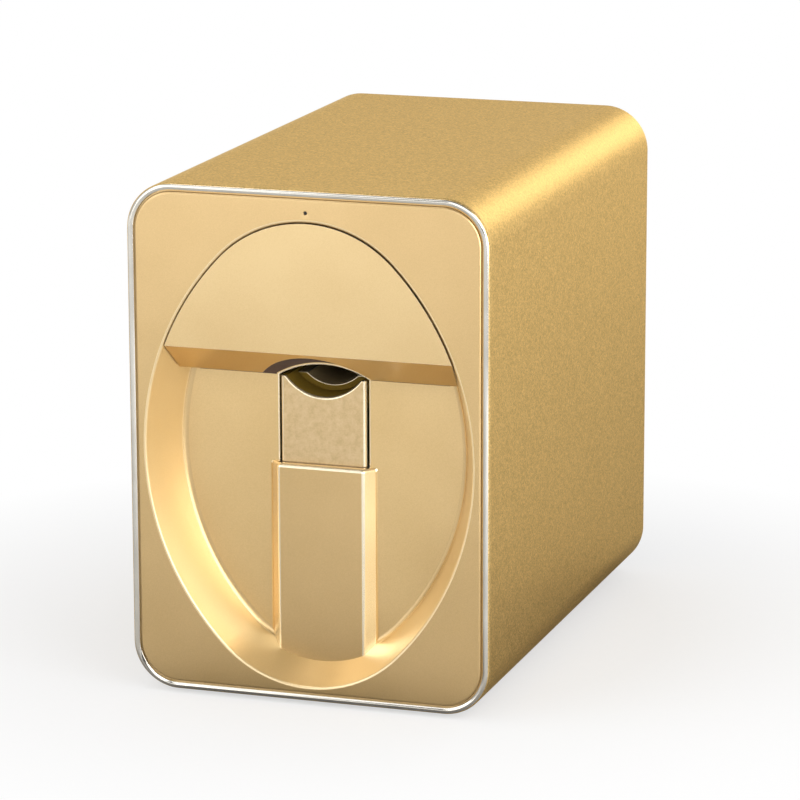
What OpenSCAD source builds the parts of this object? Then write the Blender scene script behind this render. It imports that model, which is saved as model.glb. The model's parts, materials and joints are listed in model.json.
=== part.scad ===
// Desktop nail art printer: a rounded metal sleeve with a deep oval recess in its front, a pull-off
// cover over the ink cartridge, a sprung finger rest, and an ink carriage that moves in two directions.
// X runs to the right seen from the front, Y to the back and Z up; the origin is under the middle.
// A drop is measured down from the top of the sleeve, and a name that ends in _deep is a depth behind
// the face of the front panel.

/* [Body] */
// Width of the sleeve
body_w = 134; // [126:1:150]
// Height of the sleeve
body_h = 185; // [175:1:200]
// Length of the sleeve from front to back
body_l = 207.8; // [200:1:230]
// Radius of the sleeve's long edges
body_r = 17; // [10:0.5:20]
// Wall of the sleeve
body_wall = 2.2; // [1.6:0.1:3]
// Rounding of the sleeve's rear edge
body_edge = 0.6; // [0.3:0.1:1]
// Height of the rubber feet
foot_h = 1.5; // [1:0.1:4]
// Diameter of the rubber feet
foot_d = 12; // [8:0.5:16]
// Distance from either end of the sleeve to the middle of a foot
foot_inset = 18; // [10:0.5:30]

/* [Front panel] */
// Width of the bright bevelled rim round the panel
rim_w = 2.4; // [2.3:0.1:2.6]
// How far the rim slopes forwards
rim_rise = 1.7; // [1:0.1:2.5]
// Dark seam between the rim and the panel
panel_seam = 0.6; // [0.4:0.1:1]
// Thickness of the panel
panel_t = 2.5; // [2:0.1:3.5]
// Rounding of the panel's front edge
panel_edge = 0.8; // [0.3:0.1:1.2]
// Depth of the panel's flange inside the sleeve
flange_l = 8; // [6:1:16]
// Wall of that flange
flange_t = 1.7; // [1.4:0.1:1.8]
// Diameter of the indicator lamp's hole
lamp_d = 1.3; // [0.8:0.1:3]
// Drop of the indicator lamp
lamp_drop = 8; // [7:0.1:9]

/* [Oval recess] */
// Distance from the side of the sleeve to the opening
recess_side_gap = 6; // [6:0.1:12]
// Distance from the top of the sleeve to the opening
recess_top_gap = 11.1; // [11:0.1:14]
// Distance from the underside of the sleeve to the opening
recess_low_gap = 5.3; // [5:0.1:8]
// Radius of the opening's upper and lower ends
recess_end_r = 45; // [40:0.5:50]
// Depth of the floor
recess_deep = 18.5; // [16:0.1:21]
// How far the wall leans in from the face to the floor
recess_draft = 7.7; // [5:0.1:9]
// Rounding of the opening's edge
recess_lip = 1; // [0.5:0.1:1.5]
// Fillet between the wall and the floor
recess_fillet = 2.5; // [1:0.1:3]
// Thickness of the recess wall and of its floor
recess_wall = 2.5; // [2:0.1:2.6]

/* [Guide block] */
// How far the block stands out from the floor
block_rise = 4.5; // [4:0.1:6]
// How far the block's foot reaches past the finger slot on each side
block_side = 2.7; // [2:0.1:4]
// How far each side of the block leans in
block_flare = 3.5; // [1:0.1:4]
// Wall of the block's face
block_wall = 2.5; // [1.5:0.1:2.6]
// Rounding of the block's edges
block_edge = 1.6; // [0.6:0.1:2]

/* [Finger hole] */
// Width of the hole and of the slot below it
hole_w = 33.6; // [33:0.1:35]
// Drop of the hole's top
hole_drop = 65.9; // [62:0.1:70]
// Radius of the hole's arched top
hole_r = 33.5; // [24:0.5:45]
// Room under the finger rest at the lower end of the slot
slot_room = 2.4; // [1:0.1:4]

/* [Cover] */
// Seam between the cover and the recess
cover_seam = 0.7; // [0.4:0.1:1]
// Wall of the cover
cover_wall = 2; // [1.5:0.1:2.5]
// How far the cover's lower front edge lies above the finger hole
cover_over = 7.4; // [6:0.1:9]
// How far the chin slopes down behind that edge
chin_drop = 9.9; // [7:0.1:12]
// Depth of the chin
chin_deep = 11; // [9:0.1:13]
// Radius of the arched cut-out in the chin
cover_arch_r = 29; // [26:0.5:34]
// How far the top of that cut-out stays below the lower front edge
cover_brow = 1.5; // [1:0.1:3]
// Rounding of the cover's oval edge
cover_edge = 0.5; // [0.2:0.1:1]
// Sideways distance from the middle to a magnet post
magnet_x = 29; // [27:0.5:31]
// How far the magnet posts lie above the cover's lower front edge
magnet_rise = 14.5; // [12:0.5:16]
// Diameter of the magnets
magnet_d = 6; // [4:0.5:7]
// Thickness of the magnets
magnet_t = 1.7; // [1:0.1:2]

/* [Finger rest] */
// Gap between the rest and the slot on each side
rest_gap = 0.8; // [0.4:0.1:1.2]
// Distance from the hole's top down to the rest's upper edges
rest_down = 4.7; // [4:0.1:6]
// How much of the rest shows above the guide block
rest_show = 31.4; // [26:0.1:36]
// How far the rest reaches down behind the guide block
rest_lap = 20.6; // [18:0.1:24]
// How far the rest's front plate stands out from the floor
rest_proud = 1; // [0.6:0.1:1.4]
// Thickness of that plate
plate_t = 2; // [1.6:0.1:2.6]
// Rounding of that plate's upright edges
plate_edge = 1.2; // [0.4:0.1:1.5]
// Radius of the finger channel
channel_r = 17.5; // [16.5:0.1:19]
// Depth of the channel below the rest's upper edges
channel_deep = 6.8; // [6:0.1:8]
// Wall under the channel
channel_wall = 2.4; // [2:0.1:3]
// Length of the rest from front to back
rest_l = 52; // [44:0.5:56]
// Distance from the rest's face to the front edge of the pad
pad_start = 10.5; // [6:0.1:16]
// Thickness of the pad
pad_t = 2.4; // [1.6:0.1:3]
// Radius of the hollow in the pad
pad_r = 13.8; // [12:0.1:15]
// How far the rest goes down
rest_travel = 20; // [10:0.5:22]
// Distance from the rest's face back to its guide rods
guide_back = 25.25; // [24:0.25:28]
// Diameter of the guide rods
guide_d = 4; // [3:0.1:4.4]
// Distance between the guide rods
guide_gap = 24; // [22:0.5:25]
// Length of the slider on the rods
slider_l = 12; // [8:0.5:14]
// Height of the web between the slider and the rest
web_h = 30.7; // [28:0.1:34]
// Outer diameter of the springs
spring_d = 7.2; // [6.4:0.1:7.6]
// Length of the springs when they are pressed flat
spring_flat = 8; // [6:0.1:10]

/* [Ink carriage] */
// Width of the ink cartridge
ink_w = 30; // [26:0.5:32]
// Length of the ink cartridge
ink_l = 54; // [48:0.5:58]
// Height of the ink cartridge's body
ink_h = 28; // [24:0.5:29]
// Distance from the cartridge's front to its nozzles
ink_front = 9; // [8.5:0.1:11]
// Width of the snout that holds the nozzles
snout_w = 15; // [12:0.5:17]
// Height of that snout
snout_h = 4.7; // [4:0.1:6]
// Gap between the nozzles and the nail window
nozzle_gap = 1.2; // [0.8:0.1:2]
// Wall of the carriage
tub_wall = 1.6; // [1.2:0.1:2]
// Gap between the parked carriage and the right gantry block
park_gap = 1.4; // [1:0.1:3]
// Distance from the floor of the recess back to the parked nozzles
park_back = 38.25; // [37:0.25:42]
// How far the gantry comes forwards
gantry_travel = 22; // [14:0.5:23]
// Diameter of the rod that carries the carriage
rod_d = 6; // [5:0.1:6.6]
// Diameter of the upper rail
rail_d = 4; // [3:0.1:4.5]
// Diameter of the rods that carry the gantry
side_rod_d = 5; // [4:0.1:5.6]
// Wall round each rod
boss_t = 2; // [1.5:0.1:2.4]
// Length of the blocks that run on the side rods
gantry_l = 24; // [18:0.5:28]
// Radius of the belt pulleys
pulley_r = 5; // [4.5:0.1:5.6]
// Width of the belt
belt_w = 5; // [4:0.1:5.6]
// Thickness of the belt
belt_t = 1.2; // [0.8:0.1:1.4]
// Diameter of the lead screw
screw_d = 5; // [4:0.1:6]
// Length of the nut
nut_l = 8; // [6:0.5:10]
// Length of the cartridge latch
latch_l = 24; // [20:0.5:26]

/* [Chassis] */
// Thickness of the base tray
tray_t = 2; // [1.5:0.1:2.5]
// Height of the tray's upturned edges
tray_rim_h = 4; // [2:0.5:8]
// Thickness of the sheet frames and side plates
sheet_t = 1.5; // [1.2:0.1:2]
// Gap between the finger rest and the tower
tower_gap = 3; // [2.6:0.1:4]
// Thickness of the tower walls
tower_t = 2; // [1.6:0.1:2.6]
// Length of the tower from front to back
tower_l = 30; // [26:0.5:34]
// Thickness of the nail window
window_t = 1.5; // [1:0.1:2]
// Distance from the front frame to the rear frame
frame_gap = 140; // [138:1:150]
// Diameter of the motors
motor_d = 20; // [16:0.5:23]
// Length of the motors
motor_l = 15; // [12:0.5:18]
// Width of the bridge that carries the camera
bridge_w = 56; // [40:1:70]
// Width of the camera
camera_w = 18; // [14:0.5:22]
// Diameter of the light ring
light_d = 26; // [22:0.5:30]

/* [Back] */
// How far the rear panel sits inside the sleeve
rear_inset = 1.5; // [1:0.1:3]
// Thickness of the rear panel
rear_t = 2.5; // [2:0.1:3]
// Diameter of the power button
button_d = 12; // [10:0.5:14]
// How far the power button goes in
button_travel = 1; // [0.6:0.1:1.4]
// How far the power button stands out
button_out = 1; // [0.5:0.1:2]
// Distance from the side of the sleeve to the middle of the button and of the socket
port_inset = 31; // [26:1:38]
// Height of the button and of the socket above the underside of the sleeve
port_h = 24; // [20:1:30]
// Width of the power socket
socket_w = 11; // [10:0.5:13]
// Length of the power socket
socket_l = 12.5; // [10:0.5:16]
// Bore of the power socket
socket_bore = 5.6; // [5:0.1:6.6]
// Number of cooling slots
vent_n = 9; // [3:1:11]
// Width of the cooling slots
vent_w = 52; // [40:1:70]
// Height of a cooling slot
vent_h = 2.4; // [1.6:0.1:3]
// Distance from one cooling slot to the next
vent_pitch = 6; // [5:0.5:8]
// Diameter of the rear screws' heads
screw_head_d = 5.8; // [5:0.1:7]
// Distance from the side of the sleeve to a rear screw
post_inset = 19; // [16:0.5:24]
// Drop of the upper rear screws
post_drop = 27; // [22:0.5:34]
// Height of the lower rear screws above the underside of the sleeve
post_h = 44; // [38:0.5:50]
// Width of the main board
board_w = 80; // [60:1:90]
// Height of the main board
board_h = 84; // [60:1:90]
// Thickness of the circuit boards
board_t = 1.6; // [1:0.1:2]
// Space behind a circuit board
board_gap = 6; // [4:0.5:8]

/* [Hidden] */
$fn = 64;

// clearances, and how far cutters and fused shapes run past a face
run_gap = 0.05;
push_gap = run_gap / 2;
loose_gap = 0.3;
free_gap = 0.4;
past = 1;
fuse = 0.5;

// the main planes
base_z = foot_h;
top_z = base_z + body_h;
mid_z = base_z + body_h / 2;
face_y = -(body_l + rim_rise) / 2;
sleeve_front = face_y + rim_rise;
rear_y = sleeve_front + body_l;
in_w = body_w - 2 * body_wall;
in_h = body_h - 2 * body_wall;
in_r = body_r - body_wall;
in_low = base_z + body_wall;
in_top = top_z - body_wall;
panel_w = body_w - 2 * (rim_w + panel_seam);
panel_h = body_h - 2 * (rim_w + panel_seam);
panel_r = body_r - rim_w - panel_seam;
rim_step = 0.3;
foot_x = body_w / 2 - body_r - foot_d / 2;
lamp_z = top_z - lamp_drop;
lamp_inset = 0.4;
lamp_l = panel_t + 2.6;

// the oval: two side arcs and two end arcs that meet along one line
arc_steps = 14;
round_steps = 4;
recess_a = body_w / 2 - recess_side_gap;
recess_b = (body_h - recess_top_gap - recess_low_gap) / 2;
recess_z = base_z + recess_low_gap + recess_b;
side_r = (recess_a * recess_a + recess_b * recess_b - 2 * recess_b * recess_end_r)
    / (2 * (recess_a - recess_end_r));
side_x = side_r - recess_a;
end_z = recess_b - recess_end_r;
join_angle = atan2(end_z, side_x);

// the recess wall leans by the same amount all round
lean = recess_draft / recess_deep;
lean_angle = atan(lean);
lean_k = sqrt(1 + lean * lean);
lip_x = recess_lip * (lean_k - lean);
floor_offset = lean * (recess_deep - recess_fillet) + lean_k * recess_fillet;
back_deep = recess_deep + recess_wall;
floor_y = face_y + recess_deep;
recess_back = face_y + back_deep;
lip_rings = [for (i = [0:round_steps]) let (a = 90 + (90 - lean_angle) * i / round_steps)
    [-lip_x - recess_lip * cos(a), recess_lip - recess_lip * sin(a)]];
recess_outside = [for (deep = [panel_t, back_deep]) [lean * deep - lean_k * recess_wall, deep]];
fillet_rings = [for (i = [0:round_steps]) let (a = lean_angle + (90 - lean_angle) * i / round_steps)
    [floor_offset - recess_fillet * cos(a), recess_deep - recess_fillet + recess_fillet * sin(a)]];

// the frames
frame_w = in_w - 2 * tray_t;
frame_h = in_h - 2 * tray_t;
frame_r = in_r - tray_t;
frame_x = frame_w / 2;
front_frame_y = recess_back + loose_gap;
frame_in = front_frame_y + sheet_t;
rear_frame_y = frame_in + frame_gap;
rear_frame_out = rear_frame_y + sheet_t;
tray_top = in_low + tray_t;
tray_hw = body_w / 2 - body_r;
plate_low_z = base_z + body_r + free_gap;
plate_top_z = top_z - body_r - free_gap;

// the finger hole and the finger rest
hole_top = top_z - hole_drop;
rest_hw = hole_w / 2 - rest_gap;
rest_top = hole_top - rest_down;
rest_front = floor_y - rest_proud;
rest_back = rest_front + rest_l;
channel_low = rest_top - channel_deep;
channel_z = channel_low + channel_r;
rest_low = channel_low - channel_wall;
block_top = rest_top - rest_show;
block_deep = recess_deep - block_rise;
block_face = face_y + block_deep;
block_foot_hw = hole_w / 2 + block_side;
block_hw = block_foot_hw - block_flare;
plate_low = block_top - rest_lap;
slot_low = plate_low - rest_travel - slot_room;
guide_y = rest_front + guide_back;
tower_x = rest_hw + tower_gap;
tower_front = guide_y - tower_l / 2;
tower_back = guide_y + tower_l / 2;
slider_hw = tower_x - tower_gap / 2;
slider_hl = guide_d / 2 + 6;
slider_top = rest_low - web_h;
slider_low = slider_top - slider_l;
web_hw = (guide_gap - guide_d) / 2 - 3;
web_hl = slider_hl - 2;
rod_top = rest_low - rest_travel - 1;
saddle_top = slider_low - rest_travel - spring_flat;
saddle_t = 6;
saddle_z = saddle_top - saddle_t;
stop_x = (guide_gap + guide_d) / 2 + 1.2;
stop_t = 2.7;

// the cover
cover_z = hole_top + cover_over;
arch_z = cover_z - cover_brow - cover_arch_r;
magnet_z = cover_z + magnet_rise;
magnet_back = floor_y - loose_gap;
post_wall = 1.5;

// the window for the cartridge
bay_hw = ink_w / 2 + 6;
bay_low = cover_z + 2.5;
bay_margin = 3;

// the ink carriage
roof_z = hole_top + 0.2;
nozzle_z = roof_z + window_t + nozzle_gap;
nozzle_y = floor_y + park_back;
print_y = nozzle_y - gantry_travel / 2;
ink_z = nozzle_z + snout_h;
ink_top = ink_z + ink_h;
ink_y0 = nozzle_y - ink_front;
ink_y1 = ink_y0 + ink_l;
rod_boss_r = rod_d / 2 + boss_t;
rail_boss_r = rail_d / 2 + boss_t;
tub_hw = ink_w / 2 + loose_gap + tub_wall;
tub_low = ink_z - loose_gap - tub_wall;
tub_back = ink_y1 + loose_gap;
tub_out = tub_back + tub_wall;
tub_side_top = ink_z + 0.7 * ink_h;
rod_y = tub_out + rod_boss_r + 1;
rod_z = ink_z + rod_boss_r + 1;
rail_z = ink_top + rail_boss_r + 3;
tub_top = rail_z + rail_boss_r;
belt_z = (rod_z + rail_z) / 2;
side_rod_z = belt_z + 4;
beam_y = rod_y + rod_boss_r + 3;
beam_t = 2;
beam_low = rod_z - rod_boss_r - 1;
beam_top = rail_z + rail_boss_r + 1;
block_gap = 1.3;
block_hx = frame_x - block_gap;
beam_hx = block_hx - side_rod_d - 2 * boss_t - 0.2;
side_rod_x = (beam_hx + block_hx) / 2;
gantry_y = rod_y - rod_boss_r - loose_gap;
park_x = beam_hx - park_gap - tub_hw;
pulley_x = beam_hx - motor_d / 2 - block_gap;
pulley_hl = belt_w / 2;
axle_r = 1.5;
clamp_x = park_x - ink_w / 3;
clamp_hw = 4;
clamp_t = 2;
latch_y = ink_y0 + latch_l + 5;
latch_z = ink_top + 3;
latch_t = 2;
latch_r = 2.4;
latch_pin_r = 1.2;
latch_ear = 4;

// the lead screw and the motors
screw_x = -pulley_x;
screw_z = tub_low - screw_d / 2 - 8.8;
nut_r = screw_d / 2 + 2.5;
nut_holder = nut_r + 2;
bearing_t = 5;
bearing_hw = screw_d / 2 + 3.5;
bearing_y = beam_y - gantry_travel - bearing_t - 3;
ear_hw = 4;
ear_t = 1;

// the camera over the nails
bridge_z = in_top - tray_t - 3.4;
bridge_lip = 3;
camera_h = camera_w / 3;
camera_z = bridge_z - camera_h;
lens_r = camera_w / 4.5;
lens_l = 3;

// the cap that the nozzles rest on
cap_z = nozzle_z - loose_gap;
cap_hw = snout_w / 2 + 2;
cap_hl = snout_w / 2 + 2.5;
cap_wall = 1.5;
cap_h = 5;

// the back
rear_out = rear_y - rear_inset;
rear_in = rear_out - rear_t;
rear_w = in_w - 2 * free_gap;
rear_h = in_h - 2 * free_gap;
post_x = body_w / 2 - post_inset;
post_low_z = base_z + post_h;
post_top_z = top_z - post_drop;
post_r = 4;
thread_r = 1.5;
thread_l = 9;
head_r = screw_head_d / 2;
head_t = 1.4;
screw_room = 0.2;
port_x = body_w / 2 - port_inset;
port_z = base_z + port_h;
socket_floor = 3;
socket_pin_r = 1;
vent_z = mid_z - 12.5;
button_lip = 1.5;
switch_y = rear_in - 9;
switch_hw = button_d / 2 + 4.2;
switch_r = 3.5;
plunger_y = switch_y + switch_r + 1.7;
board_x = 16;
board_z = mid_z + 11.5;
board_y = rear_frame_out + board_gap;
// the parts on the main board: place, width, height and rise in hundredths of the board's width
board_parts = [[-10, -5, 20, 20, 2.2], [24, 16, 17, 13, 4.2],
    [35, -39, 20, 8, 8], [35, -26, 20, 8, 8], [35, -13, 20, 8, 8]];
board_cans = [[-38, 35], [-25, 35], [-12, 35]];

function arc(cx, cy, r, a0, a1, n = arc_steps) =
    [for (i = [0:n - 1]) let (a = a0 + (a1 - a0) * i / n) [cx + r * cos(a), cy + r * sin(a)]];
// outline of the recess, moved inwards by o
function oval(o) = concat(
    arc(-side_x, 0, side_r - o, -join_angle, join_angle),
    arc(0, end_z, recess_end_r - o, join_angle, 180 - join_angle),
    arc(side_x, 0, side_r - o, 180 - join_angle, 180 + join_angle),
    arc(0, -end_z, recess_end_r - o, 180 + join_angle, 360 - join_angle));
function rounded(w, h, r, n = 8) = concat(
    arc(w / 2 - r, h / 2 - r, r, 0, 90, n), [[w / 2 - r, h / 2]],
    arc(r - w / 2, h / 2 - r, r, 90, 180, n), [[-w / 2, h / 2 - r]],
    arc(r - w / 2, r - h / 2, r, 180, 270, n), [[r - w / 2, -h / 2]],
    arc(w / 2 - r, r - h / 2, r, 270, 360, n), [[w / 2, r - h / 2]]);
function turned(rings) = [for (i = [len(rings) - 1:-1:0]) rings[i]];

// a shape drawn in X and Z, as thick as from y0 to y1
module slab(y0, y1) {
    translate([0, y1, 0]) rotate([90, 0, 0]) linear_extrude(y1 - y0) children();
}
// a shape drawn in Y and Z, as thick as from x0 to x1
module side_slab(x0, x1) {
    translate([x0, 0, 0]) rotate([90, 0, 90]) linear_extrude(x1 - x0) children();
}
module block(a, b) {
    translate(a) cube(b - a);
}
module y_rod(x, z, y0, y1, r) {
    translate([x, y1, z]) rotate([90, 0, 0]) cylinder(h = y1 - y0, r = r);
}
module x_rod(y, z, x0, x1, r) {
    translate([x0, y, z]) rotate([0, 90, 0]) cylinder(h = x1 - x0, r = r);
}
module z_rod(x, y, z0, z1, r) {
    translate([x, y, z0]) cylinder(h = z1 - z0, r = r);
}
// a section carried round a rounded rectangle: its X is outwards from the edge, its Y forwards
module round_frame(w, h, r) {
    for (s = [0, 180]) {
        rotate(s) translate([w / 2 - r, h / 2 - r]) rotate_extrude(angle = 90) translate([r, 0]) children();
        rotate(s) translate([r - w / 2, h / 2 - r]) rotate(90)
            rotate_extrude(angle = 90) translate([r, 0]) children();
        rotate(s) translate([w / 2, 0]) rotate([90, 0, 0])
            linear_extrude(h - 2 * r, center = true) children();
        rotate(s) translate([0, h / 2]) rotate([90, 0, 90])
            linear_extrude(w - 2 * r, center = true) children();
    }
}
function oval_points(rings) = [for (ring = rings) for (p = oval(ring[0])) [p[0], p[1], -ring[1]]];
function oval_faces(first, last, n) = [for (i = [0:n - 1]) let (k = (i + 1) % n)
    [first * n + i, first * n + k, last * n + k, last * n + i]];
// a closed solid through ovals, each given as how far it is moved inwards and how deep it lies
module oval_solid(rings) {
    n = 4 * arc_steps;
    last = len(rings) - 1;
    polyhedron(oval_points(rings), concat(
        [[for (i = [n - 1:-1:0]) i]],
        [for (j = [0:last - 1]) for (face = oval_faces(j, j + 1, n)) face],
        [[for (i = [0:n - 1]) last * n + i]]));
}
// a ring whose section runs through the same kind of list
module oval_ring(rings) {
    count = len(rings);
    polyhedron(oval_points(rings),
        [for (j = [0:count - 1]) for (face = oval_faces(j, (j + 1) % count, 4 * arc_steps)) face]);
}
module facing(y, z) {
    translate([0, y, z]) rotate([90, 0, 0]) children();
}

module sleeve() {
    color([0.72, 0.58, 0.36]) facing(sleeve_front, mid_z) round_frame(body_w, body_h, body_r)
        polygon(concat(
            [[-body_wall, 0], [-body_wall, -body_l]],
            arc(-body_edge, body_edge - body_l, body_edge, -90, 0, round_steps),
            [[0, body_edge - body_l], [0, 0]]));
}
module front_rim() {
    color([0.85, 0.85, 0.86]) facing(sleeve_front, mid_z) round_frame(body_w, body_h, body_r)
        polygon([[0, 0], [-rim_w, 0], [-rim_w, rim_rise], [0, rim_step]]);
}
// the face with its flange; the recess wall meets it behind the rounded lip
module front_panel() {
    edge_band = panel_t;
    color([0.80, 0.69, 0.48]) difference() {
        union() {
            facing(face_y, mid_z) round_frame(panel_w, panel_h, panel_r) polygon(concat(
                [[-edge_band, 0]],
                turned(arc(-panel_edge, -panel_edge, panel_edge, 0, 90, round_steps)),
                [[0, -panel_t], [-edge_band, -panel_t]]));
            facing(face_y, mid_z) round_frame(in_w - 2 * loose_gap, in_h - 2 * loose_gap, in_r - loose_gap)
                translate([-flange_t, -flange_l]) square([flange_t, flange_l - rim_rise - loose_gap]);
            slab(face_y, face_y + panel_t) translate([0, mid_z])
                polygon(rounded(panel_w - edge_band, panel_h - edge_band, panel_r - edge_band / 2));
        }
        facing(face_y, recess_z) oval_solid(concat([[-lip_x, -past]], lip_rings,
            [[lean * (panel_t + past), panel_t + past]]));
        facing(face_y, recess_z) oval_solid(recess_outside);
        y_rod(0, lamp_z, face_y - past, face_y + panel_t + past, lamp_d / 2);
    }
}
module recess_wall() {
    color([0.82, 0.70, 0.46]) facing(face_y, recess_z) oval_ring(concat(turned(fillet_rings),
        [[lean * panel_t, panel_t]], recess_outside, [[floor_offset, back_deep]]));
}
module bay_shape(grow) {
    intersection() {
        translate([0, recess_z]) polygon(oval(floor_offset + bay_margin - grow));
        translate([-bay_hw - grow, bay_low - grow]) square([2 * (bay_hw + grow), top_z - bay_low]);
    }
}
module hole_shape() {
    hw = hole_w / 2;
    top_a = acos(hw / hole_r);
    mid = hole_top - hole_r;
    polygon(concat([[-hw, slot_low], [hw, slot_low]],
        arc(0, mid, hole_r, top_a, 180 - top_a), [[-hw, mid + hole_r * sin(top_a)]]));
}
module recess_floor() {
    color([0.80, 0.69, 0.48]) slab(floor_y, recess_back) difference() {
        translate([0, recess_z]) polygon(oval(floor_offset));
        hole_shape();
        bay_shape(0);
    }
}
// the block's outline seen from above, its foot on the floor and its face forwards
module block_outline() {
    tilt = atan2(block_flare, block_rise);
    corner = [for (i = [0:round_steps]) let (a = tilt + (90 - tilt) * i / round_steps,
        back = a - tilt * (90 - a) / 90) [block_hw - block_edge + block_edge * cos(back),
        block_face + block_edge - block_edge * sin(a)]];
    polygon(concat([[block_foot_hw, floor_y + fuse], [block_foot_hw, floor_y]], corner,
        [for (p = turned(corner)) [-p[0], p[1]]],
        [[-block_foot_hw, floor_y], [-block_foot_hw, floor_y + fuse]]));
}
module guide_block() {
    color([0.80, 0.69, 0.48]) difference() {
        intersection() {
            translate([0, 0, base_z]) linear_extrude(block_top - base_z) block_outline();
            side_slab(-body_w / 2, body_w / 2) polygon(concat([[floor_y + past, base_z]],
                [[floor_y + past, block_top]],
                arc(block_face + block_edge, block_top - block_edge, block_edge, 90, 180, round_steps),
                [[block_face, block_top - block_edge], [block_face, base_z]]));
            facing(face_y, recess_z)
                oval_solid(concat([[lean * (block_deep - past), block_deep - past]], fillet_rings));
        }
        block([-hole_w / 2, block_face + block_wall, slot_low],
            [hole_w / 2, floor_y + past, block_top + past]);
    }
}
module lamp_window() {
    color([0.95, 0.95, 0.92])
        y_rod(0, lamp_z, face_y + lamp_inset, face_y + lamp_inset + lamp_l, lamp_d / 2 - run_gap);
}

// everything above the sloping underside, which is moved inwards by o
module above_chin(o) {
    slope = chin_drop / chin_deep;
    z0 = cover_z + o * sqrt(1 + slope * slope);
    side_slab(-body_w / 2, body_w / 2) polygon([
        [face_y - past, z0 + slope * past], [face_y + 2 * chin_deep, z0 - 2 * chin_drop],
        [face_y + 2 * chin_deep, top_z], [face_y - past, top_z]]);
}
module magnet_post(s) {
    difference() {
        y_rod(s * magnet_x, magnet_z, face_y + cover_wall / 2, magnet_back, magnet_d / 2 + post_wall);
        y_rod(s * magnet_x, magnet_z, magnet_back - magnet_t, floor_y, magnet_d / 2 + run_gap);
    }
}
module cover() {
    inner = cover_seam + lean_k * cover_wall;
    edge_rings = [for (i = [0:2]) let (a = 90 - 30 * i)
        [cover_seam + cover_edge * (1 - cos(a)), cover_edge * (1 - sin(a))]];
    color([0.86, 0.76, 0.55]) difference() {
        union() {
            difference() {
                intersection() {
                    facing(face_y, recess_z) oval_solid(concat(edge_rings,
                        [[cover_seam + lean * cover_edge, cover_edge],
                            [cover_seam + lean * chin_deep, chin_deep]]));
                    above_chin(0);
                }
                intersection() {
                    facing(face_y, recess_z) oval_solid([[inner + lean * cover_wall, cover_wall],
                        [inner + lean * (chin_deep + past), chin_deep + past]]);
                    above_chin(cover_wall);
                }
            }
            for (s = [-1, 1]) magnet_post(s);
        }
        y_rod(0, arch_z, face_y - past, face_y + chin_deep + past, cover_arch_r);
    }
}
module cover_magnet(s) {
    color([0.75, 0.75, 0.77])
        y_rod(s * magnet_x, magnet_z, magnet_back - magnet_t, magnet_back, magnet_d / 2);
}

module finger_rest() {
    edge_x = rest_hw - plate_edge;
    color([0.62, 0.50, 0.36]) difference() {
        union() {
            translate([0, 0, plate_low]) linear_extrude(rest_top - plate_low) polygon(concat(
                [[-rest_hw, rest_front + plate_t]],
                arc(-edge_x, rest_front + plate_edge, plate_edge, 180, 270, round_steps),
                arc(edge_x, rest_front + plate_edge, plate_edge, 270, 360, round_steps),
                [[rest_hw, rest_front + plate_edge], [rest_hw, rest_front + plate_t]]));
            block([-rest_hw, rest_front + plate_t - fuse, rest_low], [rest_hw, rest_back, rest_top]);
            block([-web_hw, guide_y - web_hl, slider_low], [web_hw, guide_y + web_hl, rest_low + fuse]);
            block([-slider_hw, guide_y - slider_hl, slider_low],
                [slider_hw, guide_y + slider_hl, slider_top]);
        }
        y_rod(0, channel_z, rest_front - past, rest_back + past, channel_r);
        for (s = [-1, 1])
            z_rod(s * guide_gap / 2, guide_y, slider_low - past, slider_top + past, guide_d / 2 + run_gap);
    }
}
module finger_pad() {
    y0 = rest_front + pad_start;
    color([0.93, 0.90, 0.86]) intersection() {
        difference() {
            y_rod(0, channel_z, y0, rest_back - past, channel_r - loose_gap / 3);
            y_rod(0, channel_low + pad_t + pad_r, y0 - past, rest_back, pad_r);
        }
        block([-rest_hw, y0 - past, rest_low], [rest_hw, rest_back, rest_top - fuse]);
    }
}
module guide_rod(s) {
    color([0.80, 0.81, 0.83]) z_rod(s * guide_gap / 2, guide_y, saddle_z, rod_top, guide_d / 2);
}
module rest_spring(s) {
    color([0.70, 0.71, 0.73]) difference() {
        z_rod(s * guide_gap / 2, guide_y, saddle_top, slider_low, spring_d / 2);
        z_rod(s * guide_gap / 2, guide_y, saddle_z, slider_low + past, guide_d / 2 + loose_gap);
    }
}
module finger_tower() {
    color([0.30, 0.31, 0.33]) difference() {
        union() {
            for (s = [-1, 1]) {
                x0 = s > 0 ? tower_x : -tower_x - tower_t;
                x1 = s > 0 ? stop_x : -tower_x;
                block([x0, tower_front, tray_top], [x0 + tower_t, tower_back, roof_z]);
                block([x1, guide_y - web_hl, slider_top + loose_gap],
                    [x1 + tower_x - stop_x, guide_y + web_hl, slider_top + loose_gap + stop_t]);
            }
            block([-tower_x - tower_t, tower_front, tray_top],
                [tower_x + tower_t, tower_back, tray_top + tower_t]);
            block([-tower_x, guide_y - slider_hl, saddle_z], [tower_x, guide_y + slider_hl, saddle_top]);
        }
        for (s = [-1, 1])
            z_rod(s * guide_gap / 2, guide_y, saddle_z - past, saddle_top + past, guide_d / 2 + push_gap);
    }
}
module nail_window() {
    hw = tower_x + tower_t;
    field_w = snout_w + 9;
    color([0.16, 0.16, 0.17]) difference() {
        block([-hw, frame_in, roof_z], [hw, tower_back, roof_z + window_t]);
        translate([0, print_y, roof_z - past]) linear_extrude(window_t + 2 * past)
            polygon(rounded(field_w, gantry_travel + 10, field_w / 4));
    }
}

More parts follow.
